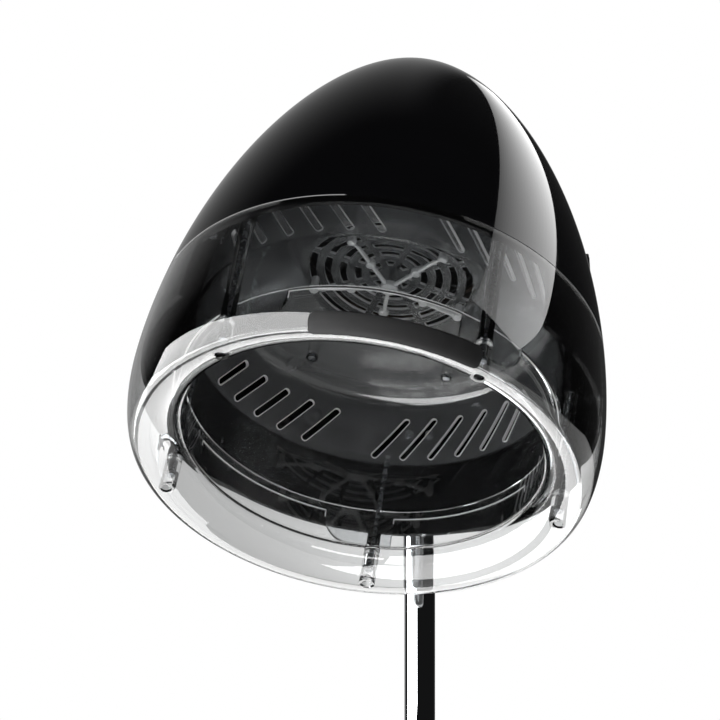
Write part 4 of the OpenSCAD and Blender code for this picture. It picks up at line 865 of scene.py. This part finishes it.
# %% Camera
YAW, DISTANCE, SENSOR, LENS = 13.4, 2.329, 36, 140.03
CAMERA_LEFT, CAMERA_UP = 0.00136, 0.0702
yaw = math.radians(YAW)
towards_camera = Vector((math.sin(yaw), -math.cos(yaw), 0))
camera_right = Vector((math.cos(yaw), math.sin(yaw), 0))
sky = Vector((0, 0, 1))
camera = bpy.data.objects.new("camera", bpy.data.cameras.new("camera"))
camera.data.sensor_width, camera.data.lens = SENSOR, LENS
camera.location = mouth + towards_camera * DISTANCE - camera_right * CAMERA_LEFT + sky * CAMERA_UP
camera.rotation_mode = "QUATERNION"
camera.rotation_quaternion = (-towards_camera).to_track_quat("-Z", "Y")
bpy.context.scene.collection.objects.link(camera)
bpy.context.scene.camera = camera
bpy.context.scene.view_settings.view_transform = "Standard"
print("the camera stands at", [round(x, 3) for x in camera.location])

# %% [markdown]
# ## The world
# A gloss black object shows only what it mirrors. In a studio it stands in front of a pale
# backdrop and between black screens. The world does both: it is white where the camera looks
# straight at it, and where it looks level through clear plastic it gets greyer towards the left.
# In reflections it is bright only behind the object, towards the left, and dark elsewhere. The
# Light Path node tells these rays apart.

# %% World
BEHIND_FROM, BEHIND_TO, BEHIND_POWER = 0.45, 0.98, 1.6
LEFT_BRIGHT, RIGHT_DARK, DARK_FROM, DARK_TO = 0.35, 0.02, 0.05, 0.22
LEVEL_TO, STEEP_FROM = 0.3, 0.6
GREY_LEFT, SHADE_LEFT, SHADE_RIGHT = 0.55, -0.07, 0.06
ROOM_GLOW, SOFT_GLOW = 0.008, 0.55
world = bpy.context.scene.world or bpy.data.worlds.new("studio")
bpy.context.scene.world = world
world.use_nodes = True
tree = world.node_tree
tree.nodes.clear()
ray = add(tree, "ShaderNodeLightPath").outputs
direction = add(tree, "ShaderNodeTexCoord").outputs["Generated"]


def along(way):
    """How far the ray goes along a way, from -1 to 1."""
    node = add(tree, "ShaderNodeVectorMath", {0: direction, 1: way}, operation="DOT_PRODUCT")
    return node.outputs["Value"]


def ramp(value, start, end, low, high, kind="SMOOTHSTEP"):
    """Goes from low to high while the value goes from start to end."""
    return add(tree, "ShaderNodeMapRange", {"Value": value, "From Min": start, "From Max": end,
               "To Min": low, "To Max": high}, interpolation_type=kind).outputs["Result"]


def math_node(operation, a, b=0):
    """One operation on one or two values."""
    return add(tree, "ShaderNodeMath", {0: a, 1: b}, operation=operation).outputs["Value"]


falloff = ramp(along(-towards_camera), BEHIND_FROM, BEHIND_TO, 0, 1, "LINEAR")
to_right = along(camera_right)
screen = math_node("MULTIPLY", math_node("POWER", falloff, BEHIND_POWER),
                   ramp(to_right, DARK_FROM, DARK_TO, LEFT_BRIGHT, RIGHT_DARK))
level = ramp(math_node("ABSOLUTE", along(sky)), LEVEL_TO, STEEP_FROM, 1, 0)
backdrop = math_node("MULTIPLY", level, ramp(to_right, SHADE_LEFT, SHADE_RIGHT, GREY_LEFT, 1))
seen_straight = math_node("LESS_THAN", ray["Glossy Depth"], 0.5)
behind_plastic = math_node("MAXIMUM", math_node("MULTIPLY", backdrop, seen_straight), screen)
through = math_node("MULTIPLY", ray["Is Transmission Ray"], behind_plastic)
mirrored = math_node("MULTIPLY", ray["Is Glossy Ray"], math_node("ADD", screen, ROOM_GLOW))
soft = math_node("MULTIPLY", ray["Is Diffuse Ray"], SOFT_GLOW)
strength = math_node("MAXIMUM", math_node("MAXIMUM", through, mirrored),
                     math_node("MAXIMUM", soft, ray["Is Camera Ray"]))
light = add(tree, "ShaderNodeBackground", {"Color": (1, 1, 1, 1), "Strength": strength})
add(tree, "ShaderNodeOutputWorld", {"Surface": light.outputs[0]})
print("the world has", len(tree.nodes), "nodes")

# %% [markdown]
# ## Lamps
# Long strips at the right, each a little weaker than the one below, give the tall band on the
# shell. Panels at the left and under the hood give the bright crescent round the rim, and a strip
# in front gives the line in the crown's corner. These are only for reflections. One large panel
# with a graded picture could do the band too, but strips need no picture. A plain soft key and a
# fill light the rest. Places are in metres from the hood's middle: right, up and to the front.

# %% Soft light helpers
hood_middle = mouth + hood_up * MIDDLE_H * MM


def studio(right, up, front):
    """A way from the hood's middle, as the camera sees it."""
    return camera_right * right + sky * up + towards_camera * front


def soft_light(name, way, size, radiance, facing=None, roll=0, reflects=True):
    """A rectangular light, for reflections alone or for the rest. Its power follows from its glow."""
    data = bpy.data.lights.new(name, "AREA")
    data.shape, data.size, data.size_y = "RECTANGLE", *size
    data.energy = radiance * math.pi * size[0] * size[1]
    made = bpy.data.objects.new(name, data)
    bpy.context.scene.collection.objects.link(made)
    made.location = hood_middle + way
    made.rotation_mode = "QUATERNION"
    spin = Matrix.Rotation(math.radians(roll), 3, "Z").to_quaternion()
    made.rotation_quaternion = (facing or -way).to_track_quat("-Z", "Y") @ spin
    made.visible_camera = made.visible_transmission = False
    made.visible_glossy, made.visible_diffuse = reflects, not reflects


# %% Key and fill
KEY_AT, KEY_SIZE, KEY_GLOW = (1.4, 1.6, 1.8), (1.2, 1.2), 3.0
FILL_AT, FILL_SIZE, FILL_GLOW = (-1.8, 0.6, 1.6), (1.0, 1.4), 1.2
soft_light("key", studio(*KEY_AT), KEY_SIZE, KEY_GLOW, reflects=False)
soft_light("fill", studio(*FILL_AT), FILL_SIZE, FILL_GLOW, reflects=False)

# %% The band of strips
STRIPS, BAND_LONG, BAND_WIDTH, BAND_ROLL = 20, 12.8, 1.38, 10
BAND_RIGHT, BAND_UP, BAND_FRONT = 2, 2.55, -5.7
BAND_GLOW, BAND_FADE = 3.3, 2.6
roll = math.radians(BAND_ROLL)
for i in range(STRIPS):
    rise = ((i + 0.5) / STRIPS - 0.5) * BAND_WIDTH
    way = studio(BAND_RIGHT, BAND_UP + rise * math.cos(roll), BAND_FRONT + rise * math.sin(roll))
    soft_light(f"right_strip_{i + 1}", way, (BAND_LONG, BAND_WIDTH / STRIPS),
               BAND_GLOW - BAND_FADE * i / STRIPS, facing=-camera_right, roll=BAND_ROLL)

# %% Panels for the rim and the crown
PANEL_GLOW = 8.0
LOW_AT, LOW_SIZE = (-0.96, -0.8, 0.48), (2.75, 1.2)
LEFT_AT, LEFT_SIZE, LEFT_ROLL = (-1.17, 0.1, 0.53), (2.3, 1.16), 15
UNDER_AT, UNDER_SIZE, UNDER_GLOW, UNDER_TURN = (0.15, -1.0, -0.46), (1.1, 0.67), 6.0, -50 - YAW
AHEAD_AT, AHEAD_SIZE = (0, 0.6, 2.0), (1.6, 0.3)
soft_light("low_panel", studio(*LOW_AT), LOW_SIZE, PANEL_GLOW)
soft_light("left_panel", studio(*LEFT_AT), LEFT_SIZE, PANEL_GLOW, roll=LEFT_ROLL)
soft_light("floor_panel", studio(*UNDER_AT), UNDER_SIZE, UNDER_GLOW, facing=sky, roll=UNDER_TURN)
soft_light("front_strip", studio(*AHEAD_AT), AHEAD_SIZE, PANEL_GLOW)
